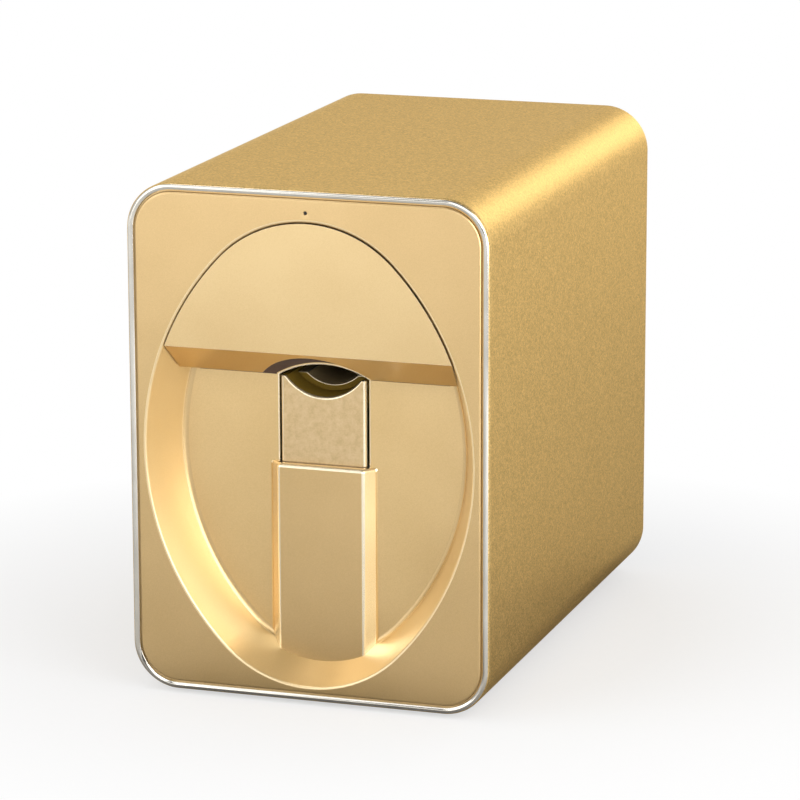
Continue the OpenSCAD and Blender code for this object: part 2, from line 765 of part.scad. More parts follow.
module base_tray() {
    color([0.25, 0.26, 0.28]) union() {
        block([-tray_hw, frame_in, in_low], [tray_hw, rear_frame_out, tray_top]);
        for (x = [-tray_hw, tray_hw - tray_t])
            block([x, frame_in, in_low], [x + tray_t, rear_frame_y, tray_top + tray_rim_h]);
    }
}
module side_plate(s) {
    x0 = s > 0 ? frame_x : -frame_x - sheet_t;
    window_l = frame_gap * 0.68;
    color([0.66, 0.67, 0.69]) difference() {
        block([x0, front_frame_y, plate_low_z], [x0 + sheet_t, rear_frame_out, plate_top_z]);
        side_slab(x0 - past, x0 + sheet_t + past)
            translate([(frame_in + rear_frame_y) / 2, screw_z - 2 * bearing_hw - window_l / 3])
            polygon(rounded(window_l, window_l * 0.6, window_l / 10));
    }
}
module frame_plate(y0) {
    slab(y0, y0 + sheet_t) translate([0, mid_z]) polygon(rounded(frame_w, frame_h, frame_r));
}
module side_rod_holes(y0, y1) {
    for (s = [-1, 1]) y_rod(s * side_rod_x, side_rod_z, y0 - past, y1 + past, side_rod_d / 2 + push_gap);
}
module front_frame() {
    color([0.70, 0.71, 0.73]) difference() {
        frame_plate(front_frame_y);
        slab(front_frame_y - past, frame_in + past) bay_shape(past);
        block([-tower_x, front_frame_y - past, rest_low - rest_travel - slot_room],
            [tower_x, frame_in + past, roof_z - fuse]);
        side_rod_holes(front_frame_y, frame_in);
    }
}
module rear_frame() {
    color([0.70, 0.71, 0.73]) difference() {
        union() {
            frame_plate(rear_frame_y);
            for (x = [-post_x, post_x], z = [post_low_z, post_top_z])
                y_rod(x, z, rear_frame_out - fuse, rear_in, post_r);
        }
        side_rod_holes(rear_frame_y, rear_frame_out);
        y_rod(screw_x, screw_z, rear_frame_y - past, rear_frame_out + past, screw_d / 2 + loose_gap);
        for (x = [-post_x, post_x], z = [post_low_z, post_top_z])
            y_rod(x, z, rear_in - thread_l, rear_in + past, thread_r);
    }
}
module top_bridge() {
    color([0.66, 0.67, 0.69]) difference() {
        block([-bridge_w / 2, frame_in, bridge_z], [bridge_w / 2, rear_frame_y, bridge_z + bridge_lip]);
        block([sheet_t - bridge_w / 2, frame_in - past, bridge_z + sheet_t],
            [bridge_w / 2 - sheet_t, rear_frame_y + past, top_z]);
    }
}
module camera() {
    hw = camera_w / 2;
    color([0.12, 0.12, 0.13]) block([-hw, print_y - hw, camera_z], [hw, print_y + hw, bridge_z]);
}
module camera_lens() {
    color([0.08, 0.08, 0.10]) z_rod(0, print_y, camera_z - lens_l, camera_z, lens_r);
}
module light_ring() {
    color([0.92, 0.93, 0.90]) difference() {
        z_rod(0, print_y, camera_z - window_t, camera_z, light_d / 2);
        z_rod(0, print_y, camera_z - lens_l, camera_z + past, lens_r + loose_gap);
    }
}

module side_rod(s) {
    color([0.82, 0.83, 0.85])
        y_rod(s * side_rod_x, side_rod_z, front_frame_y, rear_frame_out, side_rod_d / 2);
}
module gantry_block(s) {
    x0 = s > 0 ? beam_hx : -block_hx;
    y1 = gantry_y + gantry_l;
    rod_hl = beam_hx + boss_t;
    color([0.22, 0.23, 0.25]) difference() {
        block([x0, gantry_y, beam_low], [x0 + block_hx - beam_hx, y1, beam_top]);
        y_rod(s * side_rod_x, side_rod_z, gantry_y - past, y1 + past, side_rod_d / 2 + run_gap);
        x_rod(rod_y, rod_z, -rod_hl, rod_hl, rod_d / 2 + push_gap);
        x_rod(rod_y, rail_z, -rod_hl, rod_hl, rail_d / 2 + push_gap);
    }
}
module gantry_beam() {
    color([0.60, 0.61, 0.63]) difference() {
        union() {
            block([-beam_hx, beam_y, beam_low], [beam_hx, beam_y + beam_t, beam_top]);
            block([screw_x - nut_holder, beam_y, screw_z - nut_holder],
                [screw_x + nut_holder, beam_y + nut_l, beam_low + past]);
            y_rod(pulley_x, belt_z, rod_y - pulley_hl - axle_r, beam_y + past, axle_r);
        }
        y_rod(screw_x, screw_z, beam_y - past, beam_y + nut_l + past, nut_r + push_gap);
        y_rod(-pulley_x, belt_z, beam_y - past, beam_y + beam_t + past, axle_r + loose_gap);
    }
}
module screw_nut() {
    color([0.85, 0.80, 0.55]) difference() {
        y_rod(screw_x, screw_z, beam_y, beam_y + nut_l, nut_r);
        y_rod(screw_x, screw_z, beam_y - past, beam_y + nut_l + past, screw_d / 2 + run_gap);
    }
}
module lead_screw() {
    color([0.80, 0.81, 0.83]) y_rod(screw_x, screw_z, bearing_y, rear_frame_out + 4 * ear_t, screw_d / 2);
}
module screw_bearing() {
    color([0.22, 0.23, 0.25]) difference() {
        block([-frame_x, bearing_y, screw_z - bearing_hw],
            [screw_x + bearing_hw, bearing_y + bearing_t, screw_z + bearing_hw]);
        y_rod(screw_x, screw_z, bearing_y - past, bearing_y + bearing_t + past, screw_d / 2 + run_gap);
    }
}
module motor(x, z, y, shaft_r) {
    ear_z = motor_d / 2 + ear_hw;
    color([0.35, 0.36, 0.38]) difference() {
        union() {
            y_rod(x, z, y, y + motor_l, motor_d / 2);
            block([x - ear_hw, y, z - ear_z], [x + ear_hw, y + ear_t, z + ear_z]);
        }
        y_rod(x, z, y - past, y + motor_l / 3 + fuse, shaft_r + run_gap);
    }
}
module carriage_rod() {
    color([0.82, 0.83, 0.85]) x_rod(rod_y, rod_z, -beam_hx - boss_t, beam_hx + boss_t, rod_d / 2);
}
module carriage_rail() {
    color([0.82, 0.83, 0.85]) x_rod(rod_y, rail_z, -beam_hx - boss_t, beam_hx + boss_t, rail_d / 2);
}
module belt_loop(r, grow) {
    y0 = rod_y - pulley_hl - grow;
    y1 = rod_y + pulley_hl + grow;
    for (s = [-1, 1]) y_rod(s * pulley_x, belt_z, y0, y1, r);
    block([-pulley_x, y0, belt_z - r], [pulley_x, y1, belt_z + r]);
}
module belt() {
    color([0.10, 0.10, 0.11]) difference() {
        belt_loop(pulley_r + loose_gap + belt_t, 0);
        belt_loop(pulley_r + loose_gap, past);
    }
}
module drive_pulley() {
    color([0.78, 0.78, 0.74]) union() {
        y_rod(-pulley_x, belt_z, rod_y - pulley_hl, rod_y + pulley_hl, pulley_r);
        y_rod(-pulley_x, belt_z, rod_y - pulley_hl - axle_r, beam_y + motor_l / 3, axle_r - run_gap);
    }
}
module idler_pulley() {
    color([0.78, 0.78, 0.74]) difference() {
        y_rod(pulley_x, belt_z, rod_y - pulley_hl, rod_y + pulley_hl, pulley_r);
        y_rod(pulley_x, belt_z, rod_y - belt_w, rod_y + belt_w, axle_r + run_gap);
    }
}
module carriage() {
    x0 = park_x - tub_hw;
    x1 = park_x + tub_hw;
    snout = snout_w / 2 + 1;
    color([0.28, 0.29, 0.31]) difference() {
        union() {
            block([x0, ink_y0, tub_low], [x1, tub_out, tub_side_top]);
            block([x0, tub_back, tub_low], [x1, tub_out, tub_top]);
            for (x = [x0, x1 - tub_wall]) block([x, latch_y - latch_ear, tub_side_top - past],
                [x + tub_wall, latch_y + latch_ear, latch_z + 3]);
            for (place = [[rod_z, rod_boss_r], [rail_z, rail_boss_r]]) {
                x_rod(rod_y, place[0], x0, x1, place[1]);
                block([x0, tub_back, place[0] - boss_t], [x1, rod_y, place[0] + boss_t]);
            }
            belt_clamp();
        }
        block([x0 + tub_wall, ink_y0 - past, ink_z - loose_gap], [x1 - tub_wall, tub_back, tub_top + past]);
        block([park_x - snout, nozzle_y - snout, tub_low - past],
            [park_x + snout, nozzle_y + snout, ink_z]);
        x_rod(rod_y, rod_z, x0 - past, x1 + past, rod_d / 2 + run_gap);
        x_rod(rod_y, rail_z, x0 - past, x1 + past, rail_d / 2 + run_gap);
        x_rod(latch_y, latch_z, x0 - past, x1 + past, latch_pin_r + run_gap);
    }
}
module belt_clamp() {
    run_z = belt_z + pulley_r + loose_gap;
    for (z = [run_z - loose_gap - clamp_t, run_z + belt_t + loose_gap])
        block([clamp_x - clamp_hw, tub_out - fuse, z],
            [clamp_x + clamp_hw, rod_y + pulley_hl, z + clamp_t]);
}
module ink_cartridge() {
    hw = ink_w / 2;
    snout = snout_w / 2;
    color([0.10, 0.11, 0.13]) union() {
        block([park_x - hw, ink_y0, ink_z], [park_x + hw, ink_y1, ink_top]);
        block([park_x - snout, nozzle_y - snout, nozzle_z],
            [park_x + snout, nozzle_y + snout, ink_z + fuse]);
    }
}
module cartridge_latch() {
    hw = tub_hw - tub_wall - loose_gap;
    low = latch_z - latch_r - loose_gap;
    color([0.20, 0.45, 0.62]) union() {
        block([park_x - hw, latch_y - latch_l, low], [park_x + hw, latch_y, low + latch_t]);
        x_rod(latch_y, latch_z, park_x - hw, park_x + hw, latch_r);
        x_rod(latch_y, latch_z, park_x - tub_hw, park_x + tub_hw, latch_pin_r);
    }
}

module cap_station() {
    top = cap_z - cap_h;
    stem = cap_hw / 2;
    color([0.30, 0.31, 0.33]) union() {
        block([park_x - cap_hw, nozzle_y - cap_hl - tray_t, tray_top],
            [park_x + cap_hw, nozzle_y + cap_hl + tray_t, tray_top + tray_t]);
        block([park_x - stem, nozzle_y - stem, tray_top], [park_x + stem, nozzle_y + stem, top - fuse]);
        block([park_x - cap_hw - cap_wall, nozzle_y - cap_hl - cap_wall, top - cap_h],
            [park_x + cap_hw + cap_wall, nozzle_y + cap_hl + cap_wall, top]);
    }
}
module cap_seal() {
    color([0.15, 0.15, 0.16]) difference() {
        block([park_x - cap_hw, nozzle_y - cap_hl, cap_z - cap_h],
            [park_x + cap_hw, nozzle_y + cap_hl, cap_z]);
        block([park_x + cap_wall - cap_hw, nozzle_y + cap_wall - cap_hl, cap_z - cap_h / 2],
            [park_x + cap_hw - cap_wall, nozzle_y + cap_hl - cap_wall, cap_z + past]);
    }
}

module main_board() {
    y1 = board_y + board_t;
    unit = board_w / 100;
    corner_x = board_w / 2 - board_gap;
    corner_z = board_h / 2 - board_gap;
    color([0.10, 0.35, 0.22]) translate([board_x, 0, board_z]) union() {
        block([-board_w / 2, board_y, -board_h / 2], [board_w / 2, y1, board_h / 2]);
        for (x = [-corner_x, corner_x], z = [-corner_z, corner_z])
            y_rod(x, z, rear_frame_out, board_y, board_gap / 2);
        for (p = board_parts * unit) block([p[0] - p[2] / 2, y1 - fuse, p[1] - p[3] / 2],
            [p[0] + p[2] / 2, y1 + p[4], p[1] + p[3] / 2]);
        for (p = board_cans * unit) y_rod(p[0], p[1], y1 - fuse, y1 + 12 * unit, 5 * unit);
    }
}
module rear_panel() {
    hole = socket_w / 2 + run_gap;
    color([0.20, 0.20, 0.21]) difference() {
        union() {
            slab(rear_in, rear_out) translate([0, mid_z]) polygon(rounded(rear_w, rear_h, in_r - free_gap));
            for (s = [-1, 1]) y_rod(s * switch_hw - port_x, port_z, switch_y, rear_in + fuse, boss_t);
        }
        y_rod(-port_x, port_z, rear_in - past, rear_out + past, button_d / 2 + loose_gap);
        block([port_x - hole, rear_in - past, port_z - hole],
            [port_x + hole, rear_out + past, port_z + hole]);
        for (i = [0:vent_n - 1])
            slab(rear_in - past, rear_out + past)
                translate([0, vent_z + (i - (vent_n - 1) / 2) * vent_pitch])
                polygon(rounded(vent_w, vent_h, 0.45 * vent_h, round_steps));
        for (x = [-post_x, post_x], z = [post_low_z, post_top_z]) {
            y_rod(x, z, rear_in - past, rear_out + past, thread_r + screw_room);
            y_rod(x, z, rear_out - head_t, rear_out + past, head_r + screw_room);
        }
    }
}
module rear_screw(x, z) {
    color([0.25, 0.25, 0.26]) union() {
        y_rod(x, z, rear_out - head_t, rear_out - screw_room / 2, head_r);
        y_rod(x, z, rear_in - thread_l + past, rear_out - head_t / 2, thread_r - run_gap);
    }
}
module power_socket() {
    hw = socket_w / 2;
    lip = hw + boss_t;
    y0 = rear_out - socket_l;
    color([0.08, 0.08, 0.09]) difference() {
        union() {
            block([port_x - hw, y0, port_z - hw], [port_x + hw, rear_out, port_z + hw]);
            block([port_x - lip, rear_in - boss_t, port_z - lip], [port_x + lip, rear_in, port_z + lip]);
        }
        difference() {
            y_rod(port_x, port_z, y0 + socket_floor, rear_out + past, socket_bore / 2);
            y_rod(port_x, port_z, y0 + boss_t, rear_out - past, socket_pin_r);
        }
    }
}
module switch_board() {
    hw = switch_hw + boss_t;
    color([0.12, 0.36, 0.24]) translate([-port_x, 0, port_z]) union() {
        block([-hw, switch_y - board_t, -2 * switch_r], [hw, switch_y, 2 * switch_r]);
        block([-switch_r, switch_y, -switch_r], [switch_r, switch_y + switch_r + fuse, switch_r]);
        y_rod(0, 0, switch_y + switch_r, plunger_y, axle_r);
    }
}
module power_button() {
    x = -port_x;
    color([0.85, 0.85, 0.86]) union() {
        y_rod(x, port_z, rear_in - past, rear_out + button_out, button_d / 2);
        y_rod(x, port_z, rear_in - loose_gap - button_lip, rear_in - loose_gap, button_d / 2 + button_lip);
        y_rod(x, port_z, plunger_y + button_travel + loose_gap / 2, rear_in - past, axle_r + loose_gap);
    }
}
module foot(x, y) {
    color([0.12, 0.12, 0.12]) z_rod(x, y, 0, foot_h, foot_d / 2);
}

sleeve();
front_rim();
front_panel();
recess_wall();
recess_floor();
guide_block();
rear_panel();
lamp_window();
foot(-foot_x, sleeve_front + foot_inset);  // foot_1
foot(foot_x, sleeve_front + foot_inset);  // foot_2
foot(-foot_x, rear_y - foot_inset);  // foot_3
foot(foot_x, rear_y - foot_inset);  // foot_4
base_tray();
side_plate(-1);  // side_plate_left
side_plate(1);  // side_plate_right
front_frame();
rear_frame();
top_bridge();
finger_tower();
nail_window();
guide_rod(-1);  // guide_rod_left
guide_rod(1);  // guide_rod_right
rest_spring(-1);  // rest_spring_left
rest_spring(1);  // rest_spring_right
finger_rest();
finger_pad();
cover();
cover_magnet(-1);  // cover_magnet_left
cover_magnet(1);  // cover_magnet_right
side_rod(-1);  // side_rod_left
side_rod(1);  // side_rod_right
gantry_block(-1);  // gantry_block_left
gantry_block(1);  // gantry_block_right
gantry_beam();
carriage_rod();
carriage_rail();
belt();
motor(-pulley_x, belt_z, beam_y + beam_t, axle_r - run_gap);  // carriage_motor
drive_pulley();
idler_pulley();
carriage();
ink_cartridge();
cartridge_latch();
lead_screw();
screw_nut();
screw_bearing();
motor(screw_x, screw_z, rear_frame_out, screw_d / 2);  // gantry_motor
cap_station();
cap_seal();
camera();
camera_lens();
light_ring();
main_board();
power_socket();
switch_board();
power_button();
rear_screw(-post_x, post_low_z);  // rear_screw_1
rear_screw(post_x, post_low_z);  // rear_screw_2
rear_screw(-post_x, post_top_z);  // rear_screw_3
rear_screw(post_x, post_top_z);  // rear_screw_4
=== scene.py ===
import json
import math
import bpy
import bmesh
from mathutils import Matrix, Vector
from mathutils.geometry import delaunay_2d_cdt


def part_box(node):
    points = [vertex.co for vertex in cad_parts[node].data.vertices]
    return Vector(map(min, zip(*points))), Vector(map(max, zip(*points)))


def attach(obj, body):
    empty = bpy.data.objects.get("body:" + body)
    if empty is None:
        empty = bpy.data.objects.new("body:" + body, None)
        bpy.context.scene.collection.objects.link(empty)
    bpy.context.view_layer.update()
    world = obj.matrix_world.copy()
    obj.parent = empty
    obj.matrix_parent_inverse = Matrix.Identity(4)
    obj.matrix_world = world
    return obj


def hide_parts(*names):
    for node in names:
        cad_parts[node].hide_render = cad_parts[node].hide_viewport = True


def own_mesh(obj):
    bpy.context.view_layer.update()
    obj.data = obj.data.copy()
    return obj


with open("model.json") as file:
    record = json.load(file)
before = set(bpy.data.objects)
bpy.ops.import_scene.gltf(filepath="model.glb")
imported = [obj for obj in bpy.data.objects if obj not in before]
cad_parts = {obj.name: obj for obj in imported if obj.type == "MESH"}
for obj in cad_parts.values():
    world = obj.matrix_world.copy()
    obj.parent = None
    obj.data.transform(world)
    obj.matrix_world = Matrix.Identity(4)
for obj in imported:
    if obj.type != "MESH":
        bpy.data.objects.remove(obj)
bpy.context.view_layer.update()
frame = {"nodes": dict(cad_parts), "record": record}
nodes = frame["nodes"]
print("frame loaded:", len(nodes), "nodes")

mm = 0.001  # everything below is written in millimetres and scaled here

low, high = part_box("sleeve")
baseZ = low.z / mm  # underside of the sleeve
bodyW = (high.x - low.x) / mm
bodyH = (high.z - low.z) / mm
sleeveFront = low.y / mm
rearY = high.y / mm
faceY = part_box("front_panel")[0].y / mm  # the front panel's face
midZ = baseZ + bodyH / 2

shellSizes = {
    "cornerR": 17.0,
    "wall": 2.2,
    "edgeR": 0.6,
    "frontBevel": 0.15,
    "innerBevel": 0.3,
    "rimW": 2.4,
    "rimFlat": 0.8,
    "rimStep": 0.3,
    "rimDip": 0.35,
    "rimBand": 0.55,  # the outer edge that keeps the sleeve's own colour
    "seam": 0.6,
    "panelT": 2.5,
    "panelEdge": 0.9,
    "ledge": 1.5,  # how deep the seam is before the panel's own flange closes it
    "ledgeGap": 0.06,
}
recessSizes = {
    "halfW": 61.0,
    "halfH": 84.3,
    "endR": 45.0,
    "midH": 89.6,
    "deep": 18.5,
    "draft": 7.7,
    "lip": 1.1,
    "fillet": 2.5,
    "wall": 2.5,
}


cameraSettings = {
    "azimuth": 18.35,  # degrees round to the right
    "elevation": 13.30,
    "roll": -0.157,
    "distance": 1430.3,  # from the point looked at
    "target": (33.95, sleeveFront, baseZ + 112.59),
    "lens": 184.88,
    "sensor": 36.0,
}


def makeCamera(s):
    az, el, roll = (math.radians(s[k]) for k in ("azimuth", "elevation", "roll"))
    back = Vector((math.sin(az) * math.cos(el), -math.cos(az) * math.cos(el), math.sin(el)))
    right = Vector((math.cos(az), math.sin(az), 0))
    up = back.cross(right)
    tiltedRight = right * math.cos(roll) + up * math.sin(roll)
    tiltedUp = up * math.cos(roll) - right * math.sin(roll)
    data = bpy.data.cameras.new("photoCamera")
    data.lens = s["lens"]
    data.sensor_width = s["sensor"]
    data.clip_start = 0.05
    data.clip_end = 60
    camera = bpy.data.objects.new("photoCamera", data)
    bpy.context.scene.collection.objects.link(camera)
    spot = (Vector(s["target"]) + back * s["distance"]) * mm
    turn = Matrix((tiltedRight, tiltedUp, back)).transposed().to_4x4()
    camera.matrix_world = Matrix.Translation(spot) @ turn
    bpy.context.scene.camera = camera


makeCamera(cameraSettings)
print("camera placed")


def addNode(tree, kind, **inputs):
    node = tree.nodes.new(kind)
    for name, value in inputs.items():
        setInput(tree, node, name, value)
    return node


def setInput(tree, node, name, value):
    socket = node.inputs[int(name[1:])] if name[0] == "i" and name[1:].isdigit() else node.inputs[name]
    if isinstance(value, bpy.types.NodeSocket):
        tree.links.new(value, socket)
    else:
        socket.default_value = value


def mathNode(tree, operation, first, second):
    node = addNode(tree, "ShaderNodeMath", i0=first, i1=second)
    node.operation = operation
    return node.outputs[0]


def startMaterial(name, **sockets):
    material = bpy.data.materials.new(name)
    material.use_nodes = True
    tree = material.node_tree
    shader = tree.nodes["Principled BSDF"]
    for key, value in sockets.items():
        setInput(tree, shader, key.replace("_", " "), value)
    place = addNode(tree, "ShaderNodeTexCoord").outputs["Object"]
    return material, tree, shader, place


def noise(tree, place, size, detail=3.0, rough=0.5):
    scale = 1 / (size * mm)
    node = addNode(tree, "ShaderNodeTexNoise", Vector=place, Scale=scale, Detail=detail, Roughness=rough)
    return node.outputs[0]


def ramp(tree, factor, *stops):
    node = addNode(tree, "ShaderNodeValToRGB", Fac=factor)
    while len(node.color_ramp.elements) < len(stops):
        node.color_ramp.elements.new(0.5)
    for element, (position, colour) in zip(node.color_ramp.elements, stops):
        element.position = position
        element.color = (*colour, 1) if len(colour) == 3 else colour
    return node.outputs[0]


def levels(tree, factor, lowIn, highIn, lowOut, highOut):
    node = addNode(tree, "ShaderNodeMapRange", Value=factor)
    for key, value in (("From Min", lowIn), ("From Max", highIn), ("To Min", lowOut), ("To Max", highOut)):
        node.inputs[key].default_value = value
    return node.outputs[0]


def bumpOf(tree, height, strength, depth, under=None):
    node = addNode(tree, "ShaderNodeBump", Height=height, Strength=strength, Distance=depth * mm)
    if under is not None:
        tree.links.new(under, node.inputs["Normal"])
    return node.outputs[0]


def blendColours(tree, factor, first, second, kind="MIX"):
    node = tree.nodes.new("ShaderNodeMix")
    node.data_type = "RGBA"
    node.blend_type = kind
    setInput(tree, node, "i0", factor)
    setInput(tree, node, "i6", first)
    setInput(tree, node, "i7", second)
    return node.outputs[2]


sleeveFinish = {
    "dark": (0.50, 0.335, 0.12),
    "light": (0.93, 0.66, 0.28),
    "grazing": (0.92, 0.76, 0.48, 1),
    "spread": (0.35, 1.65),  # how flakes and peel together run from dark to light
    "rough": (0.36, 0.48),
    "grain": 0.45,  # millimetres across one flake
    "flakeBump": 0.35,
    "flakeDepth": 0.03,
    "peel": 1.3,
    "peelBump": 0.5,
    "peelDepth": 0.05,
}


def sleeveGold(s):
    material, tree, shader, place = startMaterial("sleeveGold", Metallic=0.9, Specular_Tint=s["grazing"])
    flakes = addNode(tree, "ShaderNodeTexVoronoi", Vector=place, Scale=1 / (s["grain"] * mm))
    flake = addNode(tree, "ShaderNodeSeparateColor", Color=flakes.outputs["Color"]).outputs[0]
    grain = noise(tree, place, s["peel"], 3, 0.6)
    mixed = mathNode(tree, "ADD", flake, grain)
    colour = ramp(tree, levels(tree, mixed, *s["spread"], 0, 1), (0, s["dark"]), (1, s["light"]))
    setInput(tree, shader, "Base Color", colour)
    setInput(tree, shader, "Roughness", levels(tree, flake, 0, 1, *s["rough"]))
    peel = bumpOf(tree, grain, s["peelBump"], s["peelDepth"])
    setInput(tree, shader, "Normal", bumpOf(tree, flake, s["flakeBump"], s["flakeDepth"], peel))
    return material


panelFinish = {
    "dark": (0.63, 0.425, 0.17),
    "light": (0.73, 0.505, 0.22),
    "grazing": (0.95, 0.82, 0.58, 1),
    "grain": 0.35,
    "rough": (0.28, 0.36),
    "bump": 0.08,
    "metal": 0.9,
    "coat": 0.8,
    "coatIor": 1.75,
    "coatRough": 0.16,
    "cloud": 40.0,  # millimetres across one soft patch of colour
    "spread": (0.7, 1.3),
    "bumpDepth": 0.02,
}


def satinGold(name, **changes):
    s = {**panelFinish, **changes}
    material, tree, shader, place = startMaterial(name, Metallic=s["metal"], Specular_Tint=s["grazing"])
    setInput(tree, shader, "Coat Weight", s["coat"])
    setInput(tree, shader, "Coat Roughness", s["coatRough"])
    setInput(tree, shader, "Coat IOR", s["coatIor"])
    fine = noise(tree, place, s["grain"], 2, 0.6)
    mixed = mathNode(tree, "ADD", fine, noise(tree, place, s["cloud"], 2))
    colour = ramp(tree, levels(tree, mixed, *s["spread"], 0, 1), (0, s["dark"]), (1, s["light"]))
    setInput(tree, shader, "Base Color", colour)
    setInput(tree, shader, "Roughness", levels(tree, fine, 0.3, 0.7, *s["rough"]))
    setInput(tree, shader, "Normal", bumpOf(tree, fine, s["bump"], s["bumpDepth"]))
    return material


recessFinish = {
    "dark": (0.82, 0.60, 0.27),
    "light": (0.89, 0.67, 0.33),
    "rough": (0.28, 0.34),
    "bump": 0.04,
    "metal": 0.65,
    "coat": 1.0,
    "coatIor": 2.2,
    "coatRough": 0.3,
}
edgeHighlightFinish = {  # the cut and polished edges, also painted paler: painted highlight along edges and light-facing faces
    "dark": (0.92, 0.77, 0.51),
    "light": (0.98, 0.87, 0.64),
    "rough": (0.18, 0.24),
    "bump": 0.02,
    "metal": 0.8,
    "coat": 1.0,
    "coatIor": 1.95,
    "coatRough": 0.12,
}
floorFinish = {
    "dark": (0.70, 0.48, 0.195),
    "light": (0.80, 0.565, 0.25),
    "metal": 0.8,
}
coverFinish = {
    "dark": (0.70, 0.49, 0.215),
    "light": (0.78, 0.57, 0.27),
}
restFinish = {
    "base": (0.60, 0.435, 0.225),
    "middle": (0.68, 0.50, 0.27),
    "speck": (0.74, 0.56, 0.32),
    "size": 0.5,
    "streak": 2.2,
    "spread": (0.7, 1.3),
    "rough": (0.40, 0.30),
}


def speckledBronze(s):
    material, tree, shader, place = startMaterial("speckledBronze", Metallic=0.82)
    setInput(tree, shader, "Specular Tint", panelFinish["grazing"])
    specks = noise(tree, place, s["size"], 4, 0.65)
    mixed = mathNode(tree, "ADD", specks, noise(tree, place, s["streak"], 3))
    pick = levels(tree, mixed, *s["spread"], 0, 1)
    colour = ramp(tree, pick, (0.0, s["base"]), (0.45, s["middle"]), (1.0, s["speck"]))
    setInput(tree, shader, "Base Color", colour)
    setInput(tree, shader, "Roughness", levels(tree, specks, 0.3, 0.7, *s["rough"]))
    setInput(tree, shader, "Normal", bumpOf(tree, specks, 0.18, 0.02))
    return material


chromeFinish = {
    "dark": (0.70, 0.67, 0.60),
    "light": (0.80, 0.77, 0.70),
    "haze": 12.0,
    "rough": (0.07, 0.14),
}


def polishedChrome(s):
    material, tree, shader, place = startMaterial("polishedChrome", Metallic=1.0)
    haze = noise(tree, place, s["haze"], 3)
    setInput(tree, shader, "Base Color", ramp(tree, haze, (0.3, s["dark"]), (0.7, s["light"])))
    setInput(tree, shader, "Roughness", levels(tree, haze, 0, 1, *s["rough"]))
    return material


def mouldedPlastic(name, dark, light, rough=(0.4, 0.55), grain=0.4, depth=0.02, shine=0.5):
    material, tree, shader, place = startMaterial(name, Specular_IOR_Level=shine)
    fine = noise(tree, place, grain, 3)
    setInput(tree, shader, "Base Color", ramp(tree, fine, (0.3, dark), (0.7, light)))
    setInput(tree, shader, "Roughness", levels(tree, fine, 0.2, 0.8, *rough))
    setInput(tree, shader, "Normal", bumpOf(tree, fine, 0.2, depth))
    return material


def sheetMetal(name, dark, light, rough=(0.25, 0.4), stretch=(1, 1, 12)):
    material, tree, shader, place = startMaterial(name, Metallic=1.0)
    stretched = addNode(tree, "ShaderNodeMapping", Vector=place)
    stretched.inputs["Scale"].default_value = stretch
    lines = noise(tree, stretched.outputs[0], 1.5, 4)
    setInput(tree, shader, "Base Color", ramp(tree, lines, (0.3, dark), (0.7, light)))
    setInput(tree, shader, "Roughness", levels(tree, lines, 0.2, 0.8, *rough))
    setInput(tree, shader, "Normal", bumpOf(tree, lines, 0.1, 0.01))
    return material


finishes = {
    "gold_metal": sleeveGold(sleeveFinish),
    "chrome": polishedChrome(chromeFinish),
    "gold_panel": satinGold("panelGold"),
    "gold_gloss": satinGold("recessGold", **recessFinish),
    "cover_gold": satinGold("coverGold", **coverFinish),
    "rest_gold": speckledBronze(restFinish),
    "pad_silicone": mouldedPlastic("padSilicone", (0.10, 0.075, 0.035), (0.15, 0.115, 0.055), (0.35, 0.5)),
    "foot_rubber": mouldedPlastic("footRubber", (0.015, 0.015, 0.015), (0.035, 0.035, 0.035), (0.6, 0.8)),
    "dark_plastic": mouldedPlastic("darkPlastic", (0.030, 0.031, 0.034), (0.05, 0.052, 0.056)),
    "black_plastic": mouldedPlastic("blackPlastic", (0.010, 0.010, 0.011), (0.022, 0.022, 0.024),
                                    (0.18, 0.3), 0.8),
    "steel_sheet": sheetMetal("steelSheet", (0.45, 0.46, 0.48), (0.62, 0.63, 0.65)),
    "ground_steel": sheetMetal("groundSteel", (0.60, 0.61, 0.63), (0.78, 0.79, 0.80), (0.12, 0.22)),
    "brass_nut": sheetMetal("brassNut", (0.55, 0.38, 0.12), (0.72, 0.52, 0.20), (0.25, 0.35)),
    "lamp_clear": mouldedPlastic("lampClear", (0.020, 0.015, 0.010), (0.035, 0.028, 0.018), (0.2, 0.3), 0.6),
    "board_green": mouldedPlastic("boardGreen", (0.01, 0.09, 0.045), (0.02, 0.14, 0.07), (0.25, 0.35), 1.2),
    "latch_blue": mouldedPlastic("latchBlue", (0.03, 0.15, 0.26), (0.05, 0.20, 0.33)),
    "pulley_alu": sheetMetal("pulleyAlu", (0.62, 0.62, 0.63), (0.76, 0.76, 0.77), (0.2, 0.3)),
}
# paler, polished gold: painted highlight on edges, bevels and light-facing sides
edgeHighlightGold = satinGold("edgeHighlightGold", **edgeHighlightFinish)
floorGold = satinGold("floorGold", **floorFinish)
# dark olive: the pad's own colour, and painted shade on the finger rest's channel
padAndShadeOlive = mouldedPlastic("padAndShadeOlive", (0.20, 0.125, 0.016), (0.28, 0.18, 0.026), (0.6, 0.75), shine=0.1)
# dark brown for the sheet of painted shade under the cover
shadeSheetBrown = mouldedPlastic("shadeSheetBrown", (0.085, 0.05, 0.032), (0.12, 0.07, 0.045), (0.45, 0.6))
# lighter tan for the pad's up-facing top: painted light where light falls on it
padLitTopTan = mouldedPlastic("padLitTopTan", (0.42, 0.31, 0.15), (0.52, 0.39, 0.20), (0.35, 0.5))
slotOf = {part["node"]: part["material_slot"] for part in frame["record"]["subparts"]}
for nodeName, thing in nodes.items():
    thing.data.materials.clear()
    thing.data.materials.append(finishes[slotOf[nodeName]])
print("finishes made:", len(finishes))


def arcPoints(cx, cz, r, start, end, count):
    steps = [start + (end - start) * i / count for i in range(count)]
    return [(cx + r * math.cos(a), cz + r * math.sin(a)) for a in steps]


